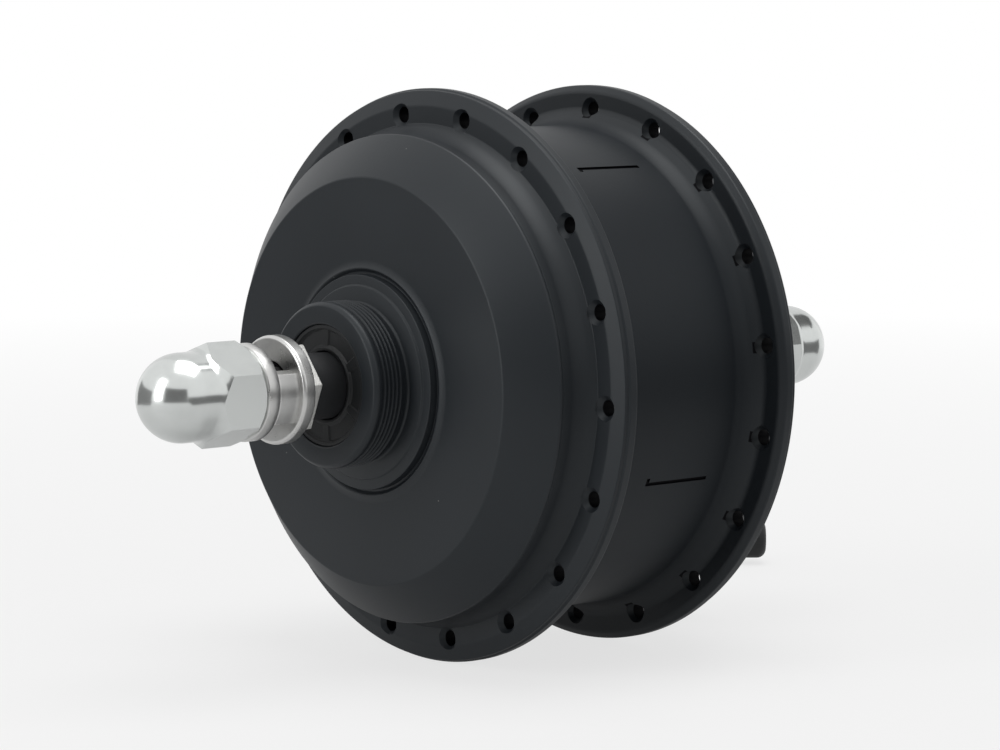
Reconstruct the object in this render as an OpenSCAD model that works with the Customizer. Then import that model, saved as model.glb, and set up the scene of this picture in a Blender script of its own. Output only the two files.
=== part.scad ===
// Geared hub motor for a bicycle wheel, with its nuts, washers and a short motor cable.
// The origin is on the axle's centre line, midway between the two dropout faces.
// +Y runs along the axle towards the disc brake side, and +Z is up.

/* [Fit in the frame] */
// Distance between the two dropout faces
dropout_width = 135; // [134:0.5:138]
// Thickness of the frame's dropout, the gap left beside the tab washer
dropout_gap = 5.3; // [4.5:0.1:7]

/* [Spoke flanges] */
// Height of a flange above the barrel's necks
flange_h = 11.05; // [10.5:0.05:13]
// Distance between the middles of the two flanges
flange_spacing = 46.4; // [45:0.2:48]
// Thickness of a flange at its spoke holes
flange_t = 5; // [4.4:0.1:5.6]
// Thickness of a flange at its rim
rim_t = 2.9; // [2.2:0.1:3.4]
// Width of the stretch that thins towards the rim
taper_w = 4.25; // [3:0.05:6]
// Distance from a flange's edge in to the middle of its spoke holes
spoke_margin = 5.25; // [4.5:0.05:6]
// Spoke holes in one flange
spoke_count = 18; // [16:2:20]
// Diameter of a spoke hole
spoke_hole_d = 3.4; // [2.8:0.1:3.8]
// Diameter of the countersink on each side of a spoke hole
spoke_sink_d = 5.5; // [4.8:0.1:7]
// Angle of the first spoke hole in the drive flange
drive_phase = -7.6; // [-10:0.1:10]
// Angle of the first spoke hole in the brake flange
brake_phase = 2.3; // [-10:0.1:10]

/* [Barrel] */
// Thickness of the barrel's necks, round the ring gear
neck_wall = 2.7; // [2.3:0.1:4]
// Height of the raised belt above the necks
belt_h = 2.3; // [1.6:0.1:3.2]
// Width of the raised belt
belt_w = 21; // [18:0.5:23]
// Width of the sloped band between belt and neck
band_w = 5.3; // [4:0.1:6]
// Thickness of the wall outside the flanges, round the cover's thread
thread_wall = 3.1; // [2.6:0.1:4]
// Height of the shoulder behind the ring gear
gear_shoulder = 0.9; // [0.6:0.1:1.4]
// Radius of the fillets at the foot of the flanges
fillet_r = 1.6; // [1:0.1:2]

/* [Drive cover] */
// Distance of the cover's seat from the middle of the hub
seat_y = 33.2; // [32.6:0.2:34.4]
// Step from the ring gear's seat out to the cover's thread
cover_step = 1; // [0.9:0.1:1.6]
// Thickness of the cover's lip
lip_t = 1; // [0.8:0.1:1.4]
// Distance of the flat end faces from the middle of the hub
end_y = 41.9; // [41.5:0.1:42.5]
// Diameter of the flat end faces
face_d = 86; // [82:1:88]
// Thickness of the end walls
end_wall_t = 3; // [2.6:0.1:3.4]
// Height of the threaded boss above the flat face
boss_h = 11.9; // [11.2:0.1:12.6]
// Crest diameter of the freewheel thread
freewheel_d = 34.92; // [34.6:0.01:35.2]
// Length of the freewheel thread
freewheel_l = 6.2; // [5.6:0.1:7]
// Depth of the relief behind the freewheel thread
relief_h = 1.06; // [0.8:0.02:1.4]

/* [Brake end] */
// Distance of the disc's mounting face from the dropout face
disc_offset = 15.3; // [15:0.1:15.6]
// Pitch circle of the disc's six screw holes
disc_circle_d = 44; // [43.5:0.1:44.5]
// Diameter of the disc's screw holes
disc_hole_d = 5; // [4.2:0.1:5.4]
// Diameter of the spigot that centres the disc
disc_spigot_d = 34.9; // [34.5:0.1:35.2]
// Diameter of the disc's boss
disc_boss_d = 55; // [53:0.5:58]

/* [Axle] */
// Diameter of the axle's threaded ends
axle_d = 12; // [11.8:0.1:12.2]
// Diameter of the axle at the brake bearing
journal_d = 15; // [14.8:0.1:15.2]
// Diameter of the axle in the stator
stator_seat_d = 18; // [17.6:0.1:18.4]
// Distance across the flats at the axle's ends
flats_w = 10; // [9.5:0.1:10.5]
// Diameter of the cable passage in the axle
passage_d = 6.4; // [5.8:0.1:6.8]
// Distance of the cable's exit from the brake side dropout face
exit_offset = 9.9; // [9.7:0.1:10.1]

/* [Nuts and washers] */
// Width across the flats of a domed nut
dome_nut_af = 19; // [18:0.5:20]
// Height of a domed nut over its tip
dome_nut_h = 24; // [23:0.5:26]
// Diameter of the dome
dome_d = 18.4; // [17:0.1:18.8]
// Width across the flats of a lock nut
lock_nut_af = 17.4; // [17:0.1:18]
// Thickness of the lock nut on the drive side
drive_lock_t = 2.9; // [2.5:0.1:3.5]
// Thickness of the lock nut on the brake side
brake_lock_t = 6; // [5:0.1:6.2]
// Diameter of the tab washer
tab_washer_d = 22.6; // [20:0.2:24]
// Thickness of the tab washer and its tab
tab_t = 3; // [2.6:0.1:3.2]
// Width of the tab
tab_w = 10.4; // [9:0.1:11]
// Diameter of a flat washer
washer_d = 20.2; // [19.6:0.1:22]
// Thickness of a flat washer
washer_t = 2.8; // [2:0.1:3.2]

/* [Gear train] */
// Distance from the axle to a planet gear's pin
gear_centre = 27; // [26.8:0.1:27.4]
// Teeth of the sun gear
sun_teeth = 21; // [21:3:21]
// Teeth of a planet gear
planet_teeth = 33; // [33:3:33]
// Width of the gear teeth
gear_w = 14; // [12:0.5:14]
// Play between meshing teeth, along the pitch circle
backlash = 0.16; // [0.1:0.02:0.3]
// Thickness of the ring gear behind its teeth
ring_wall = 2.72; // [2.4:0.02:3.2]
// Diameter of a planet's pin
pin_d = 6; // [5:0.2:7]

/* [Motor] */
// Gap between the rotor and the barrel
rotor_gap = 2.57; // [1.8:0.01:3.4]
// Length of the stator's core
core_l = 22; // [20:0.5:23]
// Slots of the stator's core
slot_count = 18; // [12:3:18]
// Magnets round the rotor
magnet_count = 20; // [16:2:24]
// Radial thickness of a magnet
magnet_t = 3; // [2.5:0.1:3]
// Thickness of the rotor's shell
can_t = 2; // [1.6:0.1:2.2]

/* [Cable] */
// Diameter of the motor cable
cable_d = 6.5; // [6:0.1:6.8]
// Length of the connector with its nose
connector_l = 38; // [34:1:40]
// Diameter of the connector
connector_d = 12.2; // [11:0.1:12.2]
// Diameter of the connector's nose
nose_d = 9.7; // [8.8:0.1:10]

/* [Hidden] */
$fn = 96;

// Clearances
fit_gap = 0.03;
thread_gap = 0.05;
run_gap = 0.07;
ball_gap = 0.06;
side_gap = 0.3;

// Bearings: bore, outside diameter, width, ball diameter, balls
DRIVE_BEARING = [axle_d, 28, 8, 4.6, 9];
BRAKE_BEARING = [journal_d, 28, 7, 4, 11];
ROTOR_BEARING = [axle_d, 21, 5, 2.4, 12];
rotor_bearing_step = 10;

// Places along the axle, from the drive end to the brake end
dropout_y = dropout_width / 2;
drive_tab_y = -dropout_y + tab_t;
drive_nut_y = drive_tab_y + drive_lock_t;
brake_nut_y = dropout_y - brake_lock_t;
drive_washer_y = -dropout_y - dropout_gap;
disc_face_y = dropout_y - disc_offset;
cable_y = dropout_y - exit_offset;
seal_t = 3;
seal_recess = 0.5;
boss_y = end_y + boss_h;
drive_seal_y = -boss_y + seal_recess;
drive_bearing_y = drive_seal_y + seal_t + 0.1;
drive_bearing_end = drive_bearing_y + DRIVE_BEARING[2];
disc_spigot_h = 1.5;
brake_end_y = disc_face_y + disc_spigot_h;
brake_seal_y = brake_end_y - seal_recess - seal_t;
brake_bearing_y = brake_seal_y - 0.7 - BRAKE_BEARING[2];
gear_y = -19;
gear_end = gear_y + gear_w;
core_mid_y = 17;
seal_bore_r = 12.8;
seal_rib_t = 0.8;

// Gear sizes
pressure_angle = 20;
ring_teeth = sun_teeth + 2 * planet_teeth;
planet_count = 3;
gear_module = 2 * gear_centre / (sun_teeth + planet_teeth);
root_depth = 1.25 * gear_module;
ring_root_r = gear_module * ring_teeth / 2 + root_depth;
ring_r = ring_root_r + ring_wall;
key_r = 1.15;
key_count = 6;
planet_root_r = gear_module * planet_teeth / 2 - root_depth;
planet_rim = 2.65;
planet_hub = 2.5;
bush_wall = 1.5;

// Radii of the shell, from the ring gear outwards
ring_seat_r = ring_r + fit_gap;
barrel_bore_r = ring_seat_r - gear_shoulder;
neck_r = ring_seat_r + neck_wall;
belt_r = neck_r + belt_h;
flange_r = neck_r + flange_h;
taper_r = flange_r - taper_w;
spoke_circle_r = flange_r - spoke_margin;
cover_thread_r = ring_seat_r + cover_step;
wall_r = cover_thread_r + thread_wall;
face_r = face_d / 2;
rim_edge = 0.25;
flange_mid = flange_spacing / 2;
lip_r = wall_r + 0.2;
spigot_r = cover_thread_r - thread_gap;
spigot_l = 7.2;
spigot_bore_r = spigot_r - 2.8;
cone_depth = end_y - seat_y - lip_t;

// Carrier and one-way clutch
carrier_gap = 1.6;
carrier_t = 4.4;
carrier_y = gear_y - carrier_gap;
carrier_end = carrier_y - carrier_t;
clutch_race_r = 14.15;
roller_r = 1.6;
roller_count = 8;
cam_r = clutch_race_r - 2 * roller_r - 0.04;
carrier_hub_end = -34;
carrier_wall = 3.6;
boss_wall = 4.5;
bush_w = 2.4;
sleeve_end = carrier_hub_end - side_gap - 1;
clip_t = 1;

// Motor sizes, from the barrel inwards
air_gap = 0.6;
can_out_r = barrel_bore_r - rotor_gap;
can_in_r = can_out_r - can_t;
magnet_in_r = can_in_r - fit_gap - magnet_t;
stator_r = magnet_in_r - air_gap;
can_plate_y = -3;
can_plate_t = 3.5;
can_end = core_mid_y + core_l / 2 + 3;
rotor_bearing_y = -2;
rotor_hub_r = ROTOR_BEARING[1] / 2 + 2.8;
sun_flange_r = 17.5;
sun_flange_t = 1.4;
sun_screw_circle = 30;
core_bore_r = 22.4;
yoke_r = 26.5;
tooth_w = 4;
tip_h = 2;
coil_gap = 0.2;
coil_over = 3;
stator_seat_y = 13;
stator_stop_y = 31;
stop_w = 2;
lead_y = 36;
board_gap = 0.5;
board_t = 1.6;

// Cable: where it leaves the axle, and the points it runs along behind the hub
exit_r = 7;
boot_l = 13;
connector_tip = [-50, 131, -55.1];
connector_angle = atan2(0.7436, 0.6687);
connector_back = connector_tip - connector_l * [cos(connector_angle), sin(connector_angle), 0];
cable_route = [
  [0, cable_y, -exit_r - boot_l], [0, cable_y, -26], [0, cable_y, -32], [-2, cable_y, -42],
  [-7.5, cable_y, -50.5], [-16, cable_y, -56], [-26, 57.4, -57.9], [-37, 56.4, -57.9],
  [-48, 54.8, -57.9], [-59, 53.6, -57.9], [-68, 54.3, -57.9], [-76.5, 58, -57.9],
  [-83, 64.5, -57.9], [-86.6, 73, -57.9], [-87.2, 81.7, -57.7], [-85, 90.3, -57],
  [-80.8, 96.8, -55.8]
];

function arc(cx, cy, r, from, to, steps) =
  [for (i = [0:steps]) let (a = from + (to - from) * i / steps) [cx + r * cos(a), cy + r * sin(a)]];
function mirrored(points) = [for (i = [len(points) - 1:-1:0]) [points[i][0], -points[i][1]]];

// A turned solid: each point is a radius and a place along the axle
module turned(points) {
  rotate([-90, 0, 0]) rotate_extrude() polygon(points);
}
// A ring or a disc between two radii, from one place along the axle to another
module ring(inner, outer, from, to) {
  turned([[inner, from], [outer, from], [outer, to], [inner, to]]);
}
// A straight rod or prism along the axle
module rod(r, from, to, sides = 96) {
  translate([0, from, 0]) rotate([-90, 0, 0]) cylinder(h = to - from, r = r, $fn = sides);
}
// Copies round the axle, with the first one at an angle from +Z towards +X
module around(count, first = 0) {
  for (i = [0:count - 1]) rotate([0, first + i * 360 / count, 0]) children();
}

// Half of the barrel's outline, from the middle of the belt to the seat of the cover
function flange_outline() = concat(
  [[belt_r, 0], [belt_r, belt_w / 2], [neck_r, belt_w / 2 + band_w]],
  arc(neck_r + fillet_r, flange_mid - flange_t / 2 - fillet_r, fillet_r, 180, 90, 5),
  [[taper_r, flange_mid - flange_t / 2],
   [flange_r - rim_edge, flange_mid - rim_t / 2], [flange_r, flange_mid - rim_t / 2 + rim_edge],
   [flange_r, flange_mid + rim_t / 2 - rim_edge], [flange_r - rim_edge, flange_mid + rim_t / 2],
   [taper_r, flange_mid + flange_t / 2]],
  arc(wall_r + fillet_r, flange_mid + flange_t / 2 + fillet_r, fillet_r, -90, -180, 5));

// Each spoke hole is cut with its two countersinks in one turned shape
module spoke_holes(y, phase) {
  hole_r = spoke_hole_d / 2;
  sink = (spoke_sink_d - spoke_hole_d) / 2;
  half = flange_t / 2;
  around(spoke_count, phase) translate([0, y, spoke_circle_r]) rotate([-90, 0, 0])
    rotate_extrude($fn = 32) polygon([[0, -half - sink], [hole_r + 2 * sink, -half - sink],
      [hole_r, -half + sink], [hole_r, half - sink], [hole_r + 2 * sink, half + sink], [0, half + sink]]);
}

// One casting: the barrel, both flanges and the brake end with its disc mount
module hub_shell() {
  shell_outline = concat(
    [[cover_thread_r, -seat_y], [wall_r, -seat_y]],
    mirrored(flange_outline()),
    flange_outline(),
    [[wall_r, seat_y + lip_t / 2], [face_r, end_y], [disc_boss_d / 2 + 2, end_y],
     [disc_boss_d / 2, end_y + 2], [disc_boss_d / 2, disc_face_y - 0.4],
     [disc_boss_d / 2 - 0.4, disc_face_y], [disc_spigot_d / 2, disc_face_y],
     [disc_spigot_d / 2, brake_end_y - 0.3], [disc_spigot_d / 2 - 0.3, brake_end_y],
     [seal_bore_r + 0.3, brake_end_y], [seal_bore_r, brake_end_y - 0.3],
     [seal_bore_r, brake_bearing_y + BRAKE_BEARING[2]],
     [BRAKE_BEARING[1] / 2 + fit_gap, brake_bearing_y + BRAKE_BEARING[2]],
     [BRAKE_BEARING[1] / 2 + fit_gap, brake_bearing_y - 0.6],
     [BRAKE_BEARING[1] / 2 + 3, brake_bearing_y - 0.6],
     [BRAKE_BEARING[1] / 2 + 3 + end_wall_t, end_y - end_wall_t],
     [face_r - 2, end_y - end_wall_t],
     [barrel_bore_r, seat_y - lip_t],
     [barrel_bore_r, gear_end + 1], [ring_seat_r, gear_end + 1],
     [ring_seat_r, gear_y - 0.6], [ring_seat_r + 0.8, gear_y - 0.6],
     [ring_seat_r + 0.8, gear_y - 0.6 - clip_t - 0.2], [ring_seat_r, gear_y - 0.6 - clip_t - 0.2],
     [ring_seat_r, spigot_l - seat_y + 1.4], [cover_thread_r, spigot_l - seat_y + 0.4]]);
  color("#26282b") difference() {
    turned(shell_outline);
    spoke_holes(-flange_mid, drive_phase);
    spoke_holes(flange_mid, brake_phase);
    around(6, 15) translate([0, 0, disc_circle_d / 2])
      rod(disc_hole_d / 2, disc_face_y - 9, disc_face_y + 1, 32);
    around(key_count) translate([0, 0, ring_seat_r])
      rod(key_r + fit_gap, gear_y - 1.2, gear_end + 1.1, 24);
  }
}

// Screwed into the barrel: the cone, the flat face, the shoulder and the freewheel's thread
module drive_cover() {
  half_bearing = DRIVE_BEARING[1] / 2 + fit_gap;
  foot_r = 23.7;
  ridge_r = 22.4;
  stop_r = 20.5;
  stop_h = 2.1;
  thread_r = freewheel_d / 2;
  relief_r = thread_r - relief_h;
  color("#26282b") turned([
    [spigot_bore_r, spigot_l - seat_y], [spigot_r - 0.5, spigot_l - seat_y],
    [spigot_r, spigot_l - seat_y - 0.5], [spigot_r, -seat_y + 2.5], [spigot_r - 1.25, -seat_y + 2.5],
    [spigot_r - 1.25, -seat_y + 0.9], [spigot_r, -seat_y + 0.9], [spigot_r, -seat_y],
    [wall_r, -seat_y], [lip_r, -seat_y - 0.2], [lip_r, -seat_y - lip_t + 0.35],
    [lip_r - 0.3, -seat_y - lip_t - 0.05], [face_r, -end_y],
    [foot_r, -end_y], [foot_r - 0.8, -end_y - 0.9],
    [ridge_r + 0.3, -end_y - 0.5], [ridge_r, -end_y - 0.5],
    [ridge_r - 0.2, -end_y - 1.2], [stop_r + 0.3, -end_y - 1.3],
    [stop_r, -end_y - stop_h], [relief_r, -end_y - stop_h],
    [relief_r, -boss_y + freewheel_l + 0.7], [thread_r, -boss_y + freewheel_l + 0.7],
    [thread_r, -boss_y + 0.7], [thread_r - 0.8, -boss_y],
    [seal_bore_r + 0.3, -boss_y], [seal_bore_r, -boss_y + 0.3],
    [seal_bore_r, drive_bearing_y], [half_bearing, drive_bearing_y],
    [half_bearing, drive_bearing_end + 0.5], [half_bearing + 0.5, drive_bearing_end + 1],
    [half_bearing + 2.5, -end_y + end_wall_t], [face_r - 3, -end_y + end_wall_t],
    [spigot_bore_r, -end_y + end_wall_t + cone_depth * 0.72]]);
}

module cover_o_ring() {
  section_r = 0.58;
  color("#1b1b1b") translate([0, -seat_y + 1.7, 0]) rotate([-90, 0, 0]) rotate_extrude()
    translate([spigot_r - 0.6, 0]) circle(r = section_r, $fn = 24);
}

// Gear outlines: each tooth has two involute flanks worked out from the base circle
function involute(base, r) = let (t = tan(acos(base / r))) t * 180 / PI - atan(t);
function half_tooth(teeth, play, r) =
  let (pitch = gear_module * teeth / 2, base = pitch * cos(pressure_angle))
  90 / teeth - play / pitch * 90 / PI
  + involute(base, pitch) - involute(base, max(r, base));
function gear_points(teeth, root, tip, play) =
  let (base = gear_module * teeth / 2 * cos(pressure_angle), foot = max(root, base + 0.02),
       steps = 3, flank = [for (i = [0:steps]) foot + (tip - foot) * i / steps])
  [for (k = [0:teeth - 1]) let (mid = k * 360 / teeth) each concat(
    [root * [cos(mid - half_tooth(teeth, play, foot) - 0.2),
             sin(mid - half_tooth(teeth, play, foot) - 0.2)]],
    [for (r = flank) let (a = mid - half_tooth(teeth, play, r)) r * [cos(a), sin(a)]],
    [for (i = [steps:-1:0]) let (a = mid + half_tooth(teeth, play, flank[i])) flank[i] * [cos(a), sin(a)]],
    [root * [cos(mid + half_tooth(teeth, play, foot) + 0.2),
             sin(mid + half_tooth(teeth, play, foot) + 0.2)]])];
module gear(teeth, root, tip, play, from, to, turn) {
  translate([0, from, 0]) rotate([-90, 0, 0]) rotate([0, 0, turn])
    linear_extrude(height = to - from) polygon(gear_points(teeth, root, tip, play));
}
function planet_turn(angle) = angle + 180 + (angle * sun_teeth - 180) / planet_teeth;
ring_turn = 180 * planet_teeth / ring_teeth + 180 / ring_teeth;

module ring_gear() {
  color("#8b8d8f") difference() {
    union() {
      ring(ring_root_r - 2.5, ring_r, gear_y - 0.5, gear_end + 1);
      around(key_count) translate([0, 0, ring_r]) rod(key_r, gear_y - 0.5, gear_end + 1, 24);
    }
    gear(ring_teeth, gear_module * (ring_teeth / 2 - 1), ring_root_r, -backlash / 2,
      gear_y - 1, gear_end + 2, ring_turn);
  }
}

module ring_gear_clip() {
  opening_w = 6;
  color("#3c3c3e") difference() {
    ring(ring_seat_r - 2, ring_seat_r + 0.7, gear_y - 0.7 - clip_t, gear_y - 0.7);
    translate([-opening_w / 2, gear_y - 2 - clip_t, 0]) cube([opening_w, clip_t + 2, flange_r]);
  }
}

module sun_gear() {
  bore = axle_d / 2 + 0.4;
  color("#9a9b9d") difference() {
    union() {
      gear(sun_teeth, gear_module * sun_teeth / 2 - root_depth, gear_module * (sun_teeth / 2 + 1),
        backlash / 2, gear_y, can_plate_y, 0);
      rod(sun_flange_r, can_plate_y - sun_flange_t, can_plate_y);
    }
    rod(bore, gear_y - 1, can_plate_y + 1);
    sun_screw_shapes(0.05);
  }
}
module sun_screw_shapes(gap) {
  around(6, 10) translate([0, can_plate_y - sun_flange_t, sun_screw_circle / 2]) rotate([-90, 0, 0]) {
    translate([0, 0, -gap]) cylinder(h = 1.1 + gap, r1 = 2.2 + gap, r2 = 1.1 + gap, $fn = 24);
    cylinder(h = 4.4 + gap, r = 1.1 + gap, $fn = 24);
  }
}
module sun_screws() {
  color("#b5b6b8") difference() {
    sun_screw_shapes(0);
    around(6, 10) translate([0, can_plate_y - sun_flange_t - 0.1, sun_screw_circle / 2])
      rotate([-90, 0, 0]) cylinder(h = 0.9, r = 0.8, $fn = 6);
  }
}

module planet_gear(index) {
  angle = index * 360 / planet_count;
  bush_r = pin_d / 2 + bush_wall;
  recess_r = planet_root_r - planet_rim;
  recess_h = 2.5;
  color("#d8d2c0") rotate([0, angle, 0]) translate([gear_centre, 0, 0]) difference() {
    gear(planet_teeth, planet_root_r, gear_module * (planet_teeth / 2 + 1),
      backlash / 2, gear_y, gear_end, planet_turn(angle) - angle);
    rod(bush_r + fit_gap, gear_y - 1, gear_end + 1, 48);
    for (end = [gear_y - 0.1, gear_end - recess_h])
      ring(bush_r + planet_hub, recess_r, end, end + recess_h + 0.1);
  }
}
module planet_bush(index) {
  color("#a8772f") rotate([0, index * 360 / planet_count, 0]) translate([gear_centre, 0, 0])
    ring(pin_d / 2 + run_gap, pin_d / 2 + bush_wall, gear_y, gear_end);
}
module planet_pins() {
  color("#b5b6b8") for (i = [0:planet_count - 1]) rotate([0, i * 360 / planet_count, 0])
    translate([gear_centre, 0, 0]) rod(pin_d / 2, carrier_end, gear_end + 0.3, 48);
}

// Carrier: a three-armed plate on the outer race of the one-way clutch
module planet_carrier() {
  boss_r = pin_d / 2 + boss_wall;
  color("#77797c") difference() {
    union() {
      rod(clutch_race_r + carrier_wall, carrier_hub_end, carrier_end + 1);
      translate([0, carrier_end, 0]) rotate([-90, 0, 0]) linear_extrude(height = carrier_t) union() {
        circle(r = clutch_race_r + carrier_wall);
        for (i = [0:planet_count - 1]) rotate(-i * 360 / planet_count) {
          translate([gear_centre, 0]) circle(r = boss_r);
          translate([clutch_race_r + 1, 0.5 - boss_r]) square([gear_centre - clutch_race_r, 2 * boss_r - 1]);
        }
      }
      rod(gear_centre - boss_wall + 0.5, carrier_end + 1.4, carrier_y - 0.6);
    }
    rod(clutch_race_r, carrier_hub_end - 1, carrier_y + 1);
    for (i = [0:planet_count - 1]) rotate([0, i * 360 / planet_count, 0])
      translate([gear_centre, 0, 0]) rod(pin_d / 2 + fit_gap, carrier_end - 1, carrier_y + 1, 48);
  }
}
module clutch_cam() {
  color("#8f9194") difference() {
    rotate([0, 180 / roller_count, 0]) rod(cam_r / cos(180 / roller_count),
      carrier_hub_end + bush_w + side_gap, carrier_y - bush_w - side_gap, roller_count);
    rod(axle_d / 2 + fit_gap, carrier_hub_end, carrier_y);
    translate([-key_w / 2, carrier_hub_end, 0])
      cube([key_w, carrier_y - carrier_hub_end, axle_d / 2 - key_h + 3.2]);
  }
}
module clutch_rollers() {
  color("#c9cacc") around(roller_count) translate([0, 0, cam_r + roller_r + 0.02])
    rod(roller_r, carrier_hub_end + bush_w + 0.6, carrier_y - bush_w - 0.6, 32);
}
module clutch_bushes() {
  color("#a8772f") {
    ring(axle_d / 2 + fit_gap, clutch_race_r - fit_gap, carrier_hub_end, carrier_hub_end + bush_w);
    ring(axle_d / 2 + fit_gap, clutch_race_r - fit_gap, carrier_y - bush_w, carrier_y);
  }
}

// Bearings, each at a place along the axle
module inner_race(kind, y) {
  mid = (kind[0] + kind[1]) / 4;
  groove = kind[3] / 2 + ball_gap;
  rotate([-90, 0, 0]) translate([0, 0, y]) rotate_extrude() difference() {
    translate([kind[0] / 2 + fit_gap / 2, 0]) square([mid - kind[3] * 0.3 - kind[0] / 2, kind[2]]);
    translate([mid, kind[2] / 2]) circle(r = groove, $fn = 32);
  }
}
module outer_race(kind, y) {
  mid = (kind[0] + kind[1]) / 4;
  groove = kind[3] / 2 + ball_gap;
  rotate([-90, 0, 0]) translate([0, 0, y]) rotate_extrude() difference() {
    translate([mid + kind[3] * 0.3, 0]) square([kind[1] / 2 - mid - kind[3] * 0.3, kind[2]]);
    translate([mid, kind[2] / 2]) circle(r = groove, $fn = 32);
  }
}
module balls(kind, y) {
  around(kind[4]) translate([0, y + kind[2] / 2, (kind[0] + kind[1]) / 4]) sphere(d = kind[3], $fn = 32);
}
module cage(kind, y) {
  mid = (kind[0] + kind[1]) / 4;
  half = kind[3] / 2 + 0.35;
  difference() {
    ring(mid - kind[3] * 0.16, mid + kind[3] * 0.16, y + kind[2] / 2 - half, y + kind[2] / 2 + half);
    around(kind[4]) translate([0, y + kind[2] / 2, mid]) sphere(d = kind[3] + 0.1, $fn = 32);
  }
}
module both_rotor_bearings() {
  for (i = [0, 1]) translate([0, rotor_bearing_y + i * rotor_bearing_step, 0]) children();
}
module drive_bearing_inner() { color("#c4c5c7") inner_race(DRIVE_BEARING, drive_bearing_y); }
module drive_bearing_outer() { color("#c4c5c7") outer_race(DRIVE_BEARING, drive_bearing_y); }
module drive_bearing_balls() { color("#dcdde0") balls(DRIVE_BEARING, drive_bearing_y); }
module drive_bearing_cage() { color("#a8772f") cage(DRIVE_BEARING, drive_bearing_y); }
module brake_bearing_inner() { color("#c4c5c7") inner_race(BRAKE_BEARING, brake_bearing_y); }
module brake_bearing_outer() { color("#c4c5c7") outer_race(BRAKE_BEARING, brake_bearing_y); }
module brake_bearing_balls() { color("#dcdde0") balls(BRAKE_BEARING, brake_bearing_y); }
module brake_bearing_cage() { color("#a8772f") cage(BRAKE_BEARING, brake_bearing_y); }
module rotor_bearing_inners() { color("#c4c5c7") both_rotor_bearings() inner_race(ROTOR_BEARING, 0); }
module rotor_bearing_outers() { color("#c4c5c7") both_rotor_bearings() outer_race(ROTOR_BEARING, 0); }
module rotor_bearing_balls() { color("#dcdde0") both_rotor_bearings() balls(ROTOR_BEARING, 0); }
module rotor_bearing_cages() { color("#a8772f") both_rotor_bearings() cage(ROTOR_BEARING, 0); }
module rotor_bearing_spacer() {
  color("#77797c") ring(axle_d / 2 + fit_gap, axle_d / 2 + 1.2,
    rotor_bearing_y + ROTOR_BEARING[2], rotor_bearing_y + rotor_bearing_step);
}

// Rotor: a cup that turns round the stator, with the magnets on its inside
module rotor_can() {
  bearing_r = ROTOR_BEARING[1] / 2 + fit_gap;
  hub_end = rotor_bearing_y + rotor_bearing_step + ROTOR_BEARING[2];
  color("#8b8d8f") difference() {
    turned([[bearing_r - 2, can_plate_y], [can_out_r, can_plate_y], [can_out_r, can_end],
      [can_in_r, can_end], [can_in_r, can_plate_y + can_plate_t], [rotor_hub_r, can_plate_y + can_plate_t],
      [rotor_hub_r, hub_end - 0.5], [bearing_r, hub_end - 0.5],
      [bearing_r, rotor_bearing_y + rotor_bearing_step],
      [bearing_r - 1, rotor_bearing_y + rotor_bearing_step],
      [bearing_r - 1, rotor_bearing_y + ROTOR_BEARING[2]],
      [bearing_r, rotor_bearing_y + ROTOR_BEARING[2]],
      [bearing_r, rotor_bearing_y], [bearing_r - 2, rotor_bearing_y]]);
    around(8, 22.5) translate([0, 0, (sun_flange_r + can_in_r) / 2])
      rod(6.5, can_plate_y - 1, can_plate_y + can_plate_t + 1, 48);
    sun_screw_shapes(0.05);
  }
}
module rotor_magnets() {
  span = 360 / magnet_count - 2;
  color("#5f6163") around(magnet_count) rotate([-90, 0, 0]) rotate([0, 0, -90 - span / 2])
    translate([0, 0, core_mid_y - core_l / 2 - 2]) rotate_extrude(angle = span)
      translate([magnet_in_r, 0]) square([magnet_t, core_l + 4]);
}

// Stator: a light alloy support, a slotted core, one coil on each tooth and the sensor board
module stator_support() {
  rim_r = core_bore_r - fit_gap;
  rim_in_r = rim_r - 3.4;
  hub_r = rotor_hub_r - 0.6;
  hub_y = stator_seat_y + 1.2;
  web_y = core_mid_y + 5;
  web_t = 5;
  color("#a9abad") difference() {
    turned([[stator_seat_d / 2 + fit_gap, hub_y], [hub_r, hub_y], [hub_r, web_y],
      [rim_in_r, web_y], [rim_in_r, core_mid_y - core_l / 2], [rim_r, core_mid_y - core_l / 2],
      [rim_r, core_mid_y + core_l / 2 + 1], [rim_in_r, core_mid_y + core_l / 2 + 1],
      [rim_in_r, web_y + web_t], [hub_r, web_y + web_t], [hub_r, stator_stop_y],
      [stator_seat_d / 2 + fit_gap, stator_stop_y]]);
    around(6) translate([0, 0, (hub_r + rim_in_r) / 2]) rod(1.6, web_y - 1, web_y + web_t + 1, 24);
  }
}
module stator_core() {
  tilt = 180 / slot_count;
  outer = stator_r - tip_h;
  function half_slot(r) = r * tan(tilt) - tooth_w / 2 / cos(tilt);
  color("#6f7174") difference() {
    ring(core_bore_r, stator_r, core_mid_y - core_l / 2, core_mid_y + core_l / 2);
    around(slot_count, tilt) translate([0, core_mid_y - core_l, 0]) rotate([-90, 0, 0]) rotate([0, 0, -90])
      linear_extrude(height = 2 * core_l) polygon([
        [yoke_r, -half_slot(yoke_r)], [outer, -half_slot(outer)], [outer + 0.6, -0.9], [stator_r + 1, -0.9],
        [stator_r + 1, 0.9], [outer + 0.6, 0.9], [outer, half_slot(outer)], [yoke_r, half_slot(yoke_r)]]);
  }
}
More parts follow.
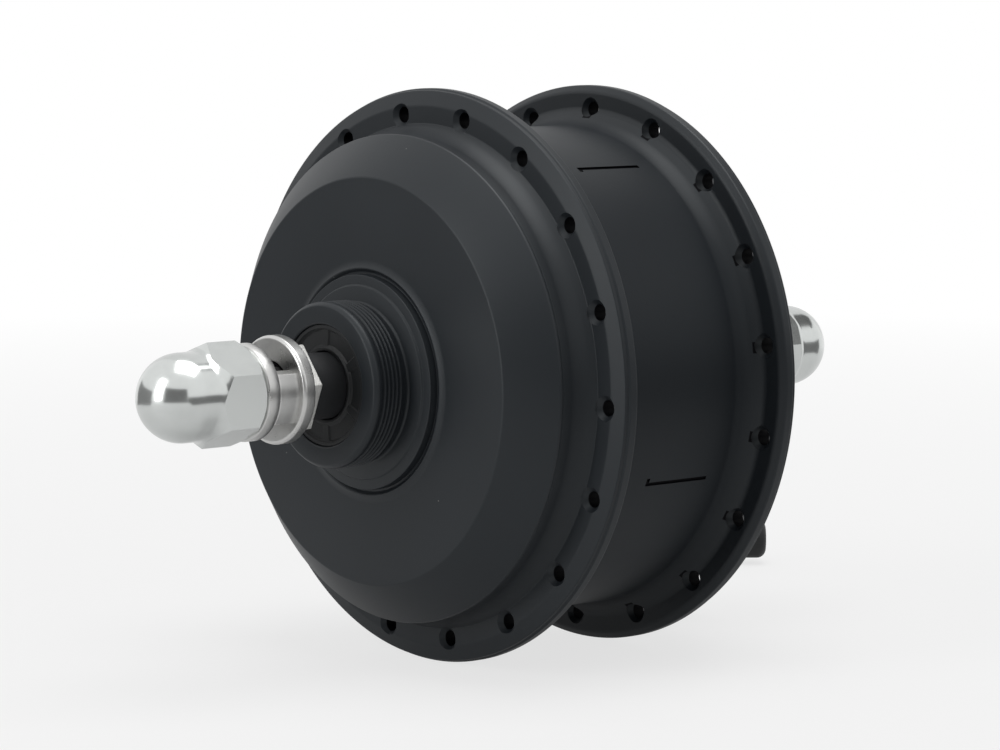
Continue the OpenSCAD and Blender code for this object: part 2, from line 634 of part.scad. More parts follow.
module stator_windings() {
  tilt = 180 / slot_count;
  inner = yoke_r + 0.5;
  outer = stator_r - tip_h - 0.5;
  window = tooth_w / 2 + coil_gap;
  color("#b4622d") around(slot_count) translate([0, core_mid_y, 0]) rotate([-90, 0, 0])
    rotate([0, 0, -90]) difference() {
      translate([0, 0, -core_l / 2 - coil_over]) linear_extrude(height = core_l + 2 * coil_over)
        polygon([[inner, -inner * tan(tilt) + 0.4], [outer, -outer * tan(tilt) + 0.4],
          [outer, outer * tan(tilt) - 0.4], [inner, inner * tan(tilt) - 0.4]]);
      translate([inner - 1, -window, -core_l / 2 - coil_gap])
        cube([outer - inner + 2, 2 * window, core_l + 2 * coil_gap]);
    }
}
board_y = core_mid_y + core_l / 2 + coil_over + board_gap;
module hall_board() {
  color("#1f5a3a") difference() {
    ring(core_bore_r + 1.5, stator_r - 1, board_y, board_y + board_t);
    around(3, 180 / 3) translate([0, 0, core_bore_r + 4]) rod(1.5, board_y - 1, board_y + board_t + 1, 24);
  }
}
module hall_sensors() {
  color("#2a2a2c") around(3, 180 / slot_count) translate([-2, board_y - 2.8, stator_r - 1.85])
    cube([4, 2.8, 1.6]);
}

module axle() {
  thread_r = axle_d / 2 - 0.1;
  body_r = axle_d / 2;
  journal_r = journal_d / 2;
  seat_r = stator_seat_d / 2;
  drive_end = drive_washer_y - washer_t - 13.4;
  brake_end = dropout_y + washer_t + 13.4;
  color("#2c2d2f") difference() {
    turned([[0, drive_end], [thread_r - 1, drive_end], [thread_r, drive_end + 1], [thread_r, drive_nut_y],
      [body_r, drive_nut_y], [body_r, stator_seat_y], [seat_r, stator_seat_y],
      [seat_r, stator_stop_y], [seat_r + 1.6, stator_stop_y],
      [seat_r + 1.6, stator_stop_y + stop_w], [seat_r, stator_stop_y + stop_w],
      [seat_r, brake_bearing_y], [journal_r, brake_bearing_y],
      [journal_r, brake_end_y + 0.2], [exit_r, brake_end_y + 0.2], [exit_r, brake_nut_y],
      [thread_r, brake_nut_y], [thread_r, brake_end - 1], [thread_r - 1, brake_end], [0, brake_end]]);
    rod(passage_d / 2, lead_y - passage_d / 2, brake_end + 1, 48);
    for (hole = [[cable_y, exit_r], [lead_y, seat_r]]) translate([0, hole[0], 0]) rotate([180, 0, 0])
      cylinder(h = hole[1] + 1, d = passage_d, $fn = 48);
    for (side = [-1, 1]) for (end = [drive_end - 1, dropout_y])
      translate([-axle_d, end, side > 0 ? flats_w / 2 : -axle_d])
        cube([2 * axle_d, end < 0 ? -dropout_y - end : brake_end + 1 - end, axle_d - flats_w / 2]);
    translate([-key_w / 2, carrier_hub_end + bush_w, axle_d / 2 - key_h]) cube([key_w, key_l, 2 * key_h]);
    for (y = clip_places) ring(axle_d / 2 - 0.5, axle_d, y, y + clip_t);
  }
}
key_w = 3;
key_l = 8;
key_h = 1.8;
key_gap = 0.05;
clip_places = [sleeve_end, carrier_y + 0.05, rotor_bearing_y - clip_t];
module axle_key() {
  color("#8f9194")
    translate([key_gap - key_w / 2, carrier_hub_end + bush_w + 2 * key_gap, axle_d / 2 - key_h + key_gap])
      cube([key_w - 2 * key_gap, key_l - 4 * key_gap, 3.1]);
}
module axle_clips() {
  color("#3c3c3e") for (i = [0:2]) translate([0, clip_places[i], 0]) difference() {
    ring(axle_d / 2 - 0.45, axle_d / 2 + (i == 2 ? 1.4 : 2), 0.05, clip_t - 0.05);
    translate([-1.6, -1, 0]) cube([3.2, clip_t + 2, axle_d]);
  }
}
module drive_spacer() {
  spacer_r = 6.93;
  color("#2c2d2f") turned([[axle_d / 2 + fit_gap, drive_nut_y], [spacer_r - 0.4, drive_nut_y],
    [spacer_r, drive_nut_y + 0.4], [spacer_r, drive_bearing_y], [axle_d / 2 + fit_gap, drive_bearing_y]]);
}
module inner_sleeve() {
  color("#77797c") ring(axle_d / 2 + fit_gap, axle_d / 2 + 2.2, drive_bearing_end, sleeve_end);
}

// Seals: a rubber ring with moulded segments on its face
module seal(lip_r, outer_face, inner_face) {
  out = outer_face < inner_face ? 1 : -1;
  difference() {
    turned([[lip_r, inner_face], [lip_r + 0.6, outer_face + out * 0.2], [lip_r + 1.2, outer_face],
      [seal_bore_r - fit_gap, outer_face], [seal_bore_r - fit_gap, inner_face]]);
    around(6) rotate([-90, 0, 0]) rotate([0, 0, -115]) translate([0, 0, outer_face - 0.4])
      rotate_extrude(angle = 50) translate([lip_r + 1.9, 0]) square([seal_bore_r - lip_r - 3, 0.8]);
  }
}
module drive_seal() { color("#1d1e20") seal(6.93 + run_gap, drive_seal_y, drive_seal_y + seal_t); }
module brake_seal() {
  color("#1d1e20") seal(journal_d / 2 + run_gap, brake_seal_y + seal_t, brake_seal_y);
}

// Nuts and washers; a corner's angle is from the top towards the side at +X
module domed_nut(corner_angle) {
  corner = dome_nut_af / 2 / cos(30);
  hex_h = 8.6;
  tip_y = dome_nut_h - dome_d / 2;
  color("#c8cacd") difference() {
    union() {
      intersection() {
        rotate([0, corner_angle - 90, 0]) rod(corner, -1, hex_h + 4, 6);
        turned([[0, 0], [dome_nut_af / 2 - 0.1, 0], [corner + 0.5, 2.3], [corner + 0.5, hex_h - 0.4],
          [dome_d / 2 - 1, hex_h + 2.2], [0, hex_h + 2.2]]);
      }
      turned(concat([[0, 1], [dome_d / 2, 1]], arc(0, tip_y, dome_d / 2, 0, 90, 12)));
    }
    rod(axle_d / 2 - 0.1 + thread_gap, -1, tip_y);
  }
}
module domed_nuts() {
  translate([0, drive_washer_y - washer_t, 0]) mirror([0, 1, 0]) domed_nut(5);
  translate([0, dropout_y + washer_t, 0]) domed_nut(23);
}
module lock_nut(thick, corner_angle) {
  corner = lock_nut_af / 2 / cos(30);
  color("#b9bbbd") difference() {
    rotate([0, corner_angle - 90, 0]) rod(corner, 0, thick, 6);
    rod(axle_d / 2 - 0.1 + thread_gap, -1, thick + 1);
  }
}
module lock_nut_drive() { translate([0, drive_tab_y, 0]) lock_nut(drive_lock_t, 22); }
module lock_nut_brake() { translate([0, brake_nut_y, 0]) lock_nut(brake_lock_t, 10); }
module tab_washer() {
  tab_out = 9.9;
  tab_end_y = -dropout_y - dropout_gap + 0.05;
  color("#b4b7ba") difference() {
    union() {
      rod(tab_washer_d / 2, -dropout_y, drive_tab_y);
      intersection() {
        ring(tab_out - tab_t, tab_out, tab_end_y, -dropout_y + 1);
        rotate([0, 97, 0]) translate([-tab_w / 2, tab_end_y - 1, 0])
          cube([tab_w, dropout_gap + 3, tab_out + 1]);
      }
    }
    rod(axle_d / 2 - 0.1 + thread_gap, -dropout_y - dropout_gap - 1, drive_tab_y + 1);
  }
}
module flat_washer() {
  edge = 0.4;
  turned([[axle_d / 2 + 0.1, 0], [washer_d / 2, 0], [washer_d / 2, washer_t - edge],
    [washer_d / 2 - edge, washer_t], [axle_d / 2 + 0.1, washer_t]]);
}
module flat_washers() {
  color("#b4b7ba") {
    translate([0, drive_washer_y, 0]) mirror([0, 1, 0]) flat_washer();
    translate([0, dropout_y, 0]) flat_washer();
  }
}

// Cable: the leads in the axle, the boot, the jacketed cable and its connector
module inner_cable() {
  lead_r = passage_d / 2 - 0.3;
  color("#6b5a2a") {
    rod(lead_r, lead_y - lead_r, cable_y + lead_r, 48);
    for (lead = [[cable_y, exit_r - 0.65], [lead_y, stator_seat_d / 2 + 6]]) translate([0, lead[0], 0])
      rotate([180, 0, 0]) cylinder(h = lead[1], r = lead_r, $fn = 48);
  }
}
module cable_boot() {
  boot_w = 7;
  color("#1d1e20") difference() {
    intersection() {
      translate([0, cable_y, -exit_r - boot_l])
        cylinder(h = boot_l + 2, r1 = cable_d / 2 + 0.5, r2 = cable_d / 2 + 2.2, $fn = 64);
      translate([-axle_d, cable_y - boot_w / 2, -exit_r - boot_l]) cube([2 * axle_d, boot_w, boot_l + 2]);
    }
    rod(exit_r + fit_gap, cable_y - boot_w, cable_y + boot_w);
  }
}

// A tube swept along a route: a ring of points round each point of the route
function unit(v) = v / norm(v);
function along(route, i) = unit(route[min(i + 1, len(route) - 1)] - route[max(i - 1, 0)]);
module swept(route, r, sides, first, last) {
  rings = len(route);
  points = [for (i = [0:rings - 1]) let (
      t = i == 0 ? first : i == rings - 1 ? last : along(route, i),
      u = unit(cross(t, [0.45, 0.35, 0.82])), v = cross(u, t))
    for (k = [0:sides - 1]) route[i] + r * (u * cos(k * 360 / sides) + v * sin(k * 360 / sides))];
  walls = [for (i = [0:rings - 2]) for (k = [0:sides - 1])
    let (a = i * sides + k, b = i * sides + (k + 1) % sides)
    each [[a, b, b + sides], [a, b + sides, a + sides]]];
  ends = [[for (k = [sides - 1:-1:0]) k], [for (k = [0:sides - 1]) (rings - 1) * sides + k]];
  polyhedron(points = points, faces = concat(walls, ends), convexity = 6);
}
module motor_cable() {
  full = concat(cable_route, [connector_back]);
  color("#232426") swept(full, cable_d / 2, 10, [0, 0, -1], [cos(connector_angle), sin(connector_angle), 0]);
}
module cable_connector() {
  body_r = connector_d / 2;
  nose_l = 12;
  color("#232426") translate(connector_back) rotate([0, 0, connector_angle - 90]) difference() {
    turned([[0, 0], [cable_d / 2 + 0.6, 0], [cable_d / 2 + 1.2, 6], [body_r - 0.8, 8], [body_r, 9],
      [body_r, connector_l - nose_l - 1], [body_r - 1, connector_l - nose_l],
      [nose_d / 2, connector_l - nose_l], [nose_d / 2, connector_l - 0.8],
      [nose_d / 2 - 0.8, connector_l], [0, connector_l]]);
    around(7) translate([0, 0, 2.9]) rod(0.6, connector_l - 6, connector_l + 1, 16);
    rod(0.6, connector_l - 6, connector_l + 1, 16);
    translate([-0.7, connector_l - 9, nose_d / 2 - 0.7]) cube([1.4, 10, 2]);
  }
}

axle();
axle_key();
axle_clips();
drive_spacer();
inner_sleeve();
drive_bearing_inner();
brake_bearing_inner();
rotor_bearing_inners();
rotor_bearing_spacer();
stator_support();
stator_core();
stator_windings();
hall_board();
hall_sensors();
inner_cable();
planet_carrier();
planet_pins();
clutch_cam();
clutch_rollers();
clutch_bushes();
lock_nut_drive();
tab_washer();
lock_nut_brake();
flat_washers();
domed_nuts();
cable_boot();
motor_cable();
cable_connector();
hub_shell();
drive_cover();
cover_o_ring();
ring_gear();
ring_gear_clip();
drive_bearing_outer();
brake_bearing_outer();
drive_seal();
brake_seal();
rotor_can();
rotor_magnets();
sun_gear();
sun_screws();
rotor_bearing_outers();
planet_gear(0);  // planet_gear_1
planet_gear(1);  // planet_gear_2
planet_gear(2);  // planet_gear_3
planet_bush(0);  // planet_bush_1
planet_bush(1);  // planet_bush_2
planet_bush(2);  // planet_bush_3
drive_bearing_balls();
drive_bearing_cage();
brake_bearing_balls();
brake_bearing_cage();
rotor_bearing_balls();
rotor_bearing_cages();
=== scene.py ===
import math
import bmesh
import bpy
from mathutils import Matrix, Vector


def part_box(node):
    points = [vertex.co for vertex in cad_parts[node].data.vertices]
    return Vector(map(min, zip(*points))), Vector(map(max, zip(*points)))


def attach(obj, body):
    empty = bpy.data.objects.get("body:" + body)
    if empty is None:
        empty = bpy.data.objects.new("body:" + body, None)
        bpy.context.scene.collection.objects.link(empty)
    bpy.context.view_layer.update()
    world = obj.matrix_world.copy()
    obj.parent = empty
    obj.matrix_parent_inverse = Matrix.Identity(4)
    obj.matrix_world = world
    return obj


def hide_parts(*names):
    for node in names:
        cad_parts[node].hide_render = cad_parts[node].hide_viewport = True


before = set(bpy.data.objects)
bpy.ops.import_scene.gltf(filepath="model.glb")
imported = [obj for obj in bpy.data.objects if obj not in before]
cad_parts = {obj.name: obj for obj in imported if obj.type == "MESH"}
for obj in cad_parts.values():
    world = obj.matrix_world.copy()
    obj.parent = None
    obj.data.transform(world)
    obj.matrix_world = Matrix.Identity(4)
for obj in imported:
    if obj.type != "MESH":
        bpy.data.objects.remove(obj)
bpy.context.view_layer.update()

# Camera: it stands in front of the drive end, to its left and a little above the axle,
# with the long lens of a catalogue picture, so that the ellipses of the rims are nearly true.
mm = 0.001
camera_place = Vector((601.2, -544.6, 79.0)) * mm
camera_turn = math.radians(48.036)
camera_tilt = math.radians(90 - 5.656)
camera_data = bpy.data.cameras.new("catalogue_camera")
camera_data.lens = 134.9
camera_data.sensor_width = 36
camera_data.clip_start = 0.01
camera = bpy.data.objects.new("catalogue_camera", camera_data)
camera.location = camera_place
camera.rotation_euler = (camera_tilt, 0, camera_turn)
bpy.context.scene.collection.objects.link(camera)
bpy.context.scene.camera = camera


# Motor cable: phase and sensor leads in one round black jacket of soft plastic.
# It leaves the axle downwards behind the hub, turns on the ground and runs back past the brake end.
def add_node(tree, kind, sockets=None, **settings):
    """Add a shader node; sockets gives an input's name or number its value or the output that feeds it."""
    made = tree.nodes.new("ShaderNode" + kind)
    for setting, value in settings.items():
        setattr(made, setting, value)
    for socket, value in (sockets or {}).items():
        if isinstance(value, bpy.types.NodeSocket):
            tree.links.new(value, made.inputs[socket])
        else:
            made.inputs[socket].default_value = value
    return made


def finish_material(name, **constants):
    """A material with its shader, tree and Object coordinates; constants go on the shader's own sockets."""
    material = bpy.data.materials.new(name)
    material.use_nodes = True
    tree = material.node_tree
    shader = tree.nodes["Principled BSDF"]
    for socket, value in constants.items():
        shader.inputs[socket.replace("_", " ")].default_value = value
    place = add_node(tree, "TexCoord").outputs["Object"]
    return material, tree, shader, place


def between(tree, share, low, high):
    """A number that goes from low to high as share goes from 0 to 1."""
    ramp = add_node(tree, "MapRange", {"Value": share, "To Min": low, "To Max": high})
    return ramp.outputs["Result"]


def blended(tree, share, dark, light):
    """A colour that goes from dark to light as share goes from 0 to 1."""
    mix = add_node(tree, "Mix", {"Factor": share}, data_type="RGBA")
    mix.inputs[6].default_value = (*dark, 1)
    mix.inputs[7].default_value = (*light, 1)
    return mix.outputs[2]


def raised(tree, shader, height, depth):
    """Bump the shader's surface by a height pattern that is depth metres tall."""
    bump = add_node(tree, "Bump", {"Height": height, "Distance": depth})
    tree.links.new(bump.outputs["Normal"], shader.inputs["Normal"])


def jacket_plastic(name, tone):
    """Soft black plastic: a faint mottle, a fine grain and a slightly greasy gloss."""
    material, tree, shader, place = finish_material(name, Specular_IOR_Level=0.35)
    mottle = add_node(tree, "TexNoise", {"Vector": place, "Scale": 90, "Detail": 4})
    grain = add_node(tree, "TexNoise", {"Vector": place, "Scale": 2600, "Detail": 3})
    colour = blended(tree, mottle.outputs["Fac"], [0.7 * c for c in tone], [1.3 * c for c in tone])
    tree.links.new(colour, shader.inputs["Base Color"])
    tree.links.new(between(tree, mottle.outputs["Fac"], 0.42, 0.62), shader.inputs["Roughness"])
    raised(tree, shader, grain.outputs["Fac"], 0.03 * mm)
    return material


def keep(piece, body, slot, *nodes):
    """Ride a piece on its body and let it stand for CAD nodes; slot is not used."""
    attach(piece, body)
    if nodes:
        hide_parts(*nodes)


cable_radius = 3.25 * mm
cable_place = 57.6
cable_exit = Vector((0, cable_place, -20)) * mm
connector_length = 38 * mm
connector_tip = Vector((-50, 131, -55.1)) * mm
connector_heading = Vector((0.6687, 0.7436, 0)).normalized()
connector_back = connector_tip - connector_length * connector_heading
cable_route = [
    (0, 57.6, -26), (0, 57.6, -32), (-2, 57.6, -42), (-7.5, 57.6, -50.5), (-16, 57.6, -56),
    (-26, 57.4, -57.85), (-37, 56.4, -57.85), (-48, 54.8, -57.85), (-59, 53.6, -57.85), (-68, 54.3, -57.85),
    (-76.5, 58, -57.85), (-83, 64.5, -57.85), (-86.35, 73, -57.8), (-86.95, 81.7, -57.6), (-85, 90.3, -57),
    (-80.8, 96.8, -55.8),
]
cable_points = [cable_exit, *[Vector(point) * mm for point in cable_route], connector_back]
cable_data = bpy.data.curves.new("motor_cable_jacket", "CURVE")
cable_data.dimensions = "3D"
cable_data.bevel_depth = cable_radius
cable_data.bevel_resolution = 8
cable_data.use_fill_caps = True
cable_line = cable_data.splines.new("BEZIER")
cable_line.resolution_u = 10
cable_line.bezier_points.add(len(cable_points) - 1)
for knot, point in zip(cable_line.bezier_points, cable_points):
    knot.co = point
    knot.handle_left_type = knot.handle_right_type = "AUTO"
motor_cable = bpy.data.objects.new("motor_cable_jacket", cable_data)
bpy.context.scene.collection.objects.link(motor_cable)
cable_black = jacket_plastic("cable_black", (0.016, 0.017, 0.018))
cable_data.materials.append(cable_black)
keep(motor_cable, "axle", "black_rubber", "motor_cable")


# Connector: a moulded eight-pin plug body on the cable's end, with a ribbed grip and a keyed nose.
# It is turned about its own line, and its pins sit in small round holes in the nose.
def turned(rows, steps):
    """Spin an outline about the axle; a row has a corner's radius, place and rounding, in mm."""
    shape = bmesh.new()
    corners = [shape.verts.new((0, place * mm, radius * mm)) for radius, place, rounding in rows]
    for first, second in zip(corners, corners[1:] + corners[:1]):
        if first.co.z > 0 or second.co.z > 0:
            shape.edges.new((first, second))
    for corner, (radius, place, rounding) in zip(corners, rows):
        if rounding > 0:
            fineness = 3 if rounding < 0.5 else 7 if rounding < 3 else 24
            bmesh.ops.bevel(shape, geom=[corner], offset=rounding * mm, offset_type="OFFSET",
                            affect="VERTICES", segments=fineness, profile=0.5, material=-1)
    bmesh.ops.spin(shape, geom=shape.verts[:] + shape.edges[:], cent=(0, 0, 0), axis=(0, 1, 0),
                   angle=math.tau, steps=steps, use_merge=True)
    bmesh.ops.remove_doubles(shape, verts=shape.verts, dist=0.0001 * mm)
    bmesh.ops.recalc_face_normals(shape, faces=shape.faces)
    return shape


def smoothed(mesh, crease=28):
    """Shade a mesh smooth but for edges sharper than crease degrees."""
    mesh.shade_smooth()
    mesh.set_sharp_from_angle(angle=math.radians(crease))


def as_piece(name, shape, material=None, crease=28):
    """Make an object of a shape, smooth but for its creases, with its material where it has one."""
    mesh = bpy.data.meshes.new(name)
    shape.to_mesh(mesh)
    shape.free()
    smoothed(mesh, crease)
    piece = bpy.data.objects.new(name, mesh)
    bpy.context.scene.collection.objects.link(piece)
    if material:
        mesh.materials.append(material)
    return piece


def combined(piece, other_shape, operation):
    """Cut a shape out of a piece, join it on or keep what both share, for good."""
    other = as_piece("tool", other_shape)
    modifier = piece.modifiers.new("tool", "BOOLEAN")
    modifier.object = other
    modifier.operation = operation
    modifier.solver = "EXACT"
    graph = bpy.context.evaluated_depsgraph_get()
    piece.data = bpy.data.meshes.new_from_object(piece.evaluated_get(graph))
    piece.modifiers.clear()
    smoothed(piece.data)
    bpy.data.objects.remove(other)


def round_edges(piece, width, angle=35, segments=2):
    """Break a finished piece's sharp edges by a width in mm, and weigh its shading to the large faces."""
    modifier = piece.modifiers.new("broken_edges", "BEVEL")
    modifier.limit_method = "ANGLE"
    modifier.angle_limit = math.radians(angle)
    modifier.width = width * mm
    modifier.segments = segments
    modifier.use_clamp_overlap = True
    modifier = piece.modifiers.new("weighted_shading", "WEIGHTED_NORMAL")
    modifier.keep_sharp = True


def swing(shape, turn, axis="Y"):
    """Turn a whole shape by degrees; about the axle they run from +Z towards +X."""
    turning = Matrix.Rotation(math.radians(turn), 3, axis)
    bmesh.ops.rotate(shape, verts=shape.verts, cent=(0, 0, 0), matrix=turning)


def drill(radius, start, end, steps):
    """A round drill on the axle, from start to end in mm."""
    return turned([(0, start, 0), (radius, start, 0), (radius, end, 0), (0, end, 0)], steps)


def ringed(shape, offset, count, first):
    """Move a shape out by offset mm and repeat it evenly round the axle, from an angle measured from +Z."""
    bmesh.ops.translate(shape, verts=shape.verts, vec=(0, 0, offset * mm))
    swing(shape, first)
    bmesh.ops.spin(shape, geom=shape.verts[:] + shape.edges[:] + shape.faces[:], cent=(0, 0, 0),
                   axis=(0, 1, 0), angle=math.tau * (count - 1) / count, steps=count - 1, use_duplicate=True)
    return shape


def block(sides, middle, turn=0):
    """A box with its sides and its middle in mm, swung round the axle by turn degrees."""
    shape = bmesh.new()
    bmesh.ops.create_cube(shape, size=1)
    bmesh.ops.scale(shape, verts=shape.verts, vec=[side * mm for side in sides])
    bmesh.ops.translate(shape, verts=shape.verts, vec=[place * mm for place in middle])
    swing(shape, turn)
    return shape


grip_start = 12
grip_pitch = 1.6
grip_radius = 6.1
grip_floor = 5.75
nose_radius = 4.85
nose_start = 26
nose_end = connector_length / mm
connector_rows = [(0, 0, 0), (3.85, 0, 0.3), (4.45, 6, 0.4), (5.3, 8, 0.4), (grip_radius, 9, 0.4)]
for groove in range(6):
    grip = grip_start + groove * grip_pitch
    connector_rows += [(grip_radius, grip, 0.15), (grip_floor, grip + 0.2, 0.1),
                       (grip_floor, grip + 0.6, 0.1), (grip_radius, grip + 0.8, 0.15)]
connector_rows += [(grip_radius, 25.2, 0.4), (5.4, nose_start, 0.2), (nose_radius, nose_start, 0.2),
                   (nose_radius, nose_end, 2.2), (0, nose_end, 0)]
connector = as_piece("connector_body", turned(connector_rows, 96), cable_black)
pin_radius = 0.45
pin_floor = 32
pin_circle = 1.75
combined(connector, ringed(drill(pin_radius, pin_floor, nose_end + 1, 16), pin_circle, 7, 0), "DIFFERENCE")
combined(connector, drill(pin_radius, pin_floor, nose_end + 1, 16), "DIFFERENCE")
key_slot = block((1.4, 10, 2), (0, 34, 5.15))
combined(connector, key_slot, "DIFFERENCE")
heading = Matrix.Rotation(math.atan2(connector_heading.y, connector_heading.x) - math.pi / 2, 4, "Z")
connector.data.transform(Matrix.Translation(connector_back) @ heading)
round_edges(connector, 0.12, 40)
keep(connector, "axle", "black_rubber", "cable_connector")

# Cable boot: a rubber strain relief moulded round the cable where it leaves the axle.
# Four grooves let it flex, and it is flattened to fit between the seal and the lock nut.
boot_black = jacket_plastic("boot_black", (0.014, 0.014, 0.015))
boot_top = -6.2
boot_foot = -20
boot_foot_radius = 3.75
boot_swell = 1.6
boot_half_width = 3.5
boot_groove = 0.45
boot_steps = 14
boot_shape = bmesh.new()
boot_rings = []
for step in range(boot_steps + 1):
    share = step / boot_steps
    size = boot_foot_radius + boot_swell * share
    if step in (1, 4, 7, 10):
        size -= boot_groove
    height = boot_foot + share * (boot_top - boot_foot)
    ring = bmesh.ops.create_circle(boot_shape, segments=48, radius=size * mm)["verts"]
    bmesh.ops.scale(boot_shape, verts=ring, vec=(1, min(1, boot_half_width / size), 1))
    bmesh.ops.translate(boot_shape, verts=ring, vec=(0, cable_place * mm, height * mm))
    boot_rings.append(ring)
for lower, upper in zip(boot_rings, boot_rings[1:]):
    rims = [edge for edge in boot_shape.edges
            if any(all(corner in ring for corner in edge.verts) for ring in (lower, upper))]
    bmesh.ops.bridge_loops(boot_shape, edges=rims)
bmesh.ops.holes_fill(boot_shape, edges=[edge for edge in boot_shape.edges if edge.is_boundary], sides=0)
bmesh.ops.recalc_face_normals(boot_shape, faces=boot_shape.faces)
boot = as_piece("boot_rubber", boot_shape, boot_black, 50)
keep(boot, "axle", "black_rubber", "cable_boot")


# Axle: one turned and black-oxided steel bar, threaded at its ends, with flats for the dropouts.
# Its key and its spring clips hold the clutch, the sleeve and the rotor's bearings in place.
def machined_metal(name, dark, light, rough, grain=0.004, lines=0.0):
    """Metal with patches of tone, a fine grain, and turning lines round the axle where lines is set."""
    material, tree, shader, place = finish_material(name, Metallic=1.0)
    patches = add_node(tree, "TexNoise", {"Vector": place, "Scale": 160, "Detail": 5, "Roughness": 0.6})
    fine = add_node(tree, "TexNoise", {"Vector": place, "Scale": 3200, "Detail": 3})
    tree.links.new(blended(tree, patches.outputs["Fac"], dark, light), shader.inputs["Base Color"])
    roughness = between(tree, patches.outputs["Fac"], 0.75 * rough, 1.25 * rough)
    tree.links.new(roughness, shader.inputs["Roughness"])
    height = fine.outputs["Fac"]
    if lines:
        turning = add_node(tree, "TexWave", {"Vector": place, "Scale": 700, "Distortion": 1.5, "Detail": 2},
                           wave_type="BANDS", bands_direction="Y")
        height = add_node(tree, "Math", {0: turning.outputs["Fac"], 1: fine.outputs["Fac"]},
                          operation="ADD").outputs[0]
    raised(tree, shader, height, (grain + lines) * mm)
    return material


def dress(material, *names):
    """Give CAD nodes that show as they are their material."""
    for name in names:
        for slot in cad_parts[name].material_slots:
            slot.material = material


black_oxide = machined_metal("black_oxide_steel", (0.010, 0.010, 0.011), (0.026, 0.026, 0.028), 0.34,
                             0.003, 0.003)
key_steel = machined_metal("key_steel", (0.30, 0.30, 0.31), (0.42, 0.42, 0.43), 0.36)
spring_steel = machined_metal("blued_spring_steel", (0.045, 0.048, 0.056), (0.08, 0.082, 0.09), 0.3)
dress(black_oxide, "axle", "sun_screws")
dress(jacket_plastic("oxided_sleeve", (0.020, 0.021, 0.023)), "drive_spacer")
dress(key_steel, "axle_key")
dress(spring_steel, "axle_clips", "ring_gear_clip")


# Stator: thin steel sheets stacked into a slotted core on a light alloy support, with a coil on each tooth.
# A green board behind the coils carries three sensors, and the leads run into the hollow axle.
def core_sheets():
    """Electrical steel in stacked sheets, whose edges show as fine lines round the core."""
    material, tree, shader, place = finish_material("core_sheets", Metallic=0.85)
    sheets = add_node(tree, "TexWave", {"Vector": place, "Scale": 1000, "Distortion": 0.2},
                      wave_type="BANDS", bands_direction="Y")
    tree.links.new(blended(tree, sheets.outputs["Fac"], (0.07, 0.068, 0.066), (0.24, 0.24, 0.235)),
                   shader.inputs["Base Color"])
    tree.links.new(between(tree, sheets.outputs["Fac"], 0.6, 0.38), shader.inputs["Roughness"])
    raised(tree, shader, sheets.outputs["Fac"], 0.03 * mm)
    return material


def enamelled_wire():
    """Copper wire in red-brown enamel, laid in close turns along the coils."""
    material, tree, shader, place = finish_material("enamelled_wire", Metallic=0.7)
    turns = add_node(tree, "TexWave", {"Vector": place, "Scale": 420, "Distortion": 0.6, "Detail": 1},
                     wave_type="RINGS", rings_direction="Y")
    varnish = add_node(tree, "TexNoise", {"Vector": place, "Scale": 240, "Detail": 4})
    mix = blended(tree, turns.outputs["Fac"], (0.11, 0.026, 0.009), (0.62, 0.22, 0.08))
    tree.links.new(mix, shader.inputs["Base Color"])
    tree.links.new(between(tree, varnish.outputs["Fac"], 0.2, 0.45), shader.inputs["Roughness"])
    raised(tree, shader, turns.outputs["Fac"], 0.25 * mm)
    return material


def circuit_board():
    """Green lacquered board with paler tracks and tinned pads."""
    material, tree, shader, place = finish_material("circuit_board", Roughness=0.32)
    tracks = add_node(tree, "TexBrick", {"Vector": place, "Scale": 160, "Mortar Size": 0.035,
                                         "Color1": (0.012, 0.11, 0.05, 1), "Color2": (0.016, 0.14, 0.06, 1),
                                         "Mortar": (0.09, 0.30, 0.13, 1)})
    tree.links.new(tracks.outputs["Color"], shader.inputs["Base Color"])
    raised(tree, shader, tracks.outputs["Fac"], 0.03 * mm)
    return material


cast_alloy = machined_metal("cast_alloy", (0.42, 0.42, 0.43), (0.56, 0.56, 0.57), 0.42, 0.02)
dress(cast_alloy, "stator_support", "planet_carrier")
dress(core_sheets(), "stator_core")
dress(enamelled_wire(), "stator_windings")
dress(circuit_board(), "hall_board")
dress(jacket_plastic("sensor_plastic", (0.012, 0.012, 0.013)), "hall_sensors")
dress(jacket_plastic("lead_sleeving", (0.12, 0.08, 0.02)), "inner_cable")

# Rotor: a pressed steel cup that turns on two ball bearings, with plated block magnets glued inside its rim.
# The sun gear is screwed to its front.
cup_steel = machined_metal("cup_steel", (0.30, 0.30, 0.31), (0.44, 0.44, 0.45), 0.3, 0.004, 0.004)
magnet_plating = machined_metal("magnet_plating", (0.36, 0.35, 0.33), (0.48, 0.47, 0.44), 0.24)
gear_steel = machined_metal("gear_steel", (0.24, 0.24, 0.25), (0.40, 0.40, 0.41), 0.28, 0.006)
dress(cup_steel, "rotor_can", "rotor_bearing_spacer", "inner_sleeve")
dress(magnet_plating, "rotor_magnets")
dress(gear_steel, "sun_gear", "ring_gear", "clutch_cam")


# Gear train: three glass-filled nylon planet gears on bronze bushes and ground pins, in a steel ring gear.
# Their carrier sits on the axle by a one-way roller clutch, so that the wheel can run ahead of the motor.
def gear_nylon():
    """Pale glass-filled nylon with a waxy depth and short fibre flecks."""
    material, tree, shader, place = finish_material("gear_nylon", Roughness=0.46, Subsurface_Weight=0.15,
                                                    Subsurface_Scale=0.002)
    flecks = add_node(tree, "TexNoise", {"Vector": place, "Scale": 1400, "Detail": 2})
    tree.links.new(blended(tree, flecks.outputs["Fac"], (0.60, 0.55, 0.43), (0.78, 0.74, 0.62)),
                   shader.inputs["Base Color"])
    raised(tree, shader, flecks.outputs["Fac"], 0.01 * mm)
    return material


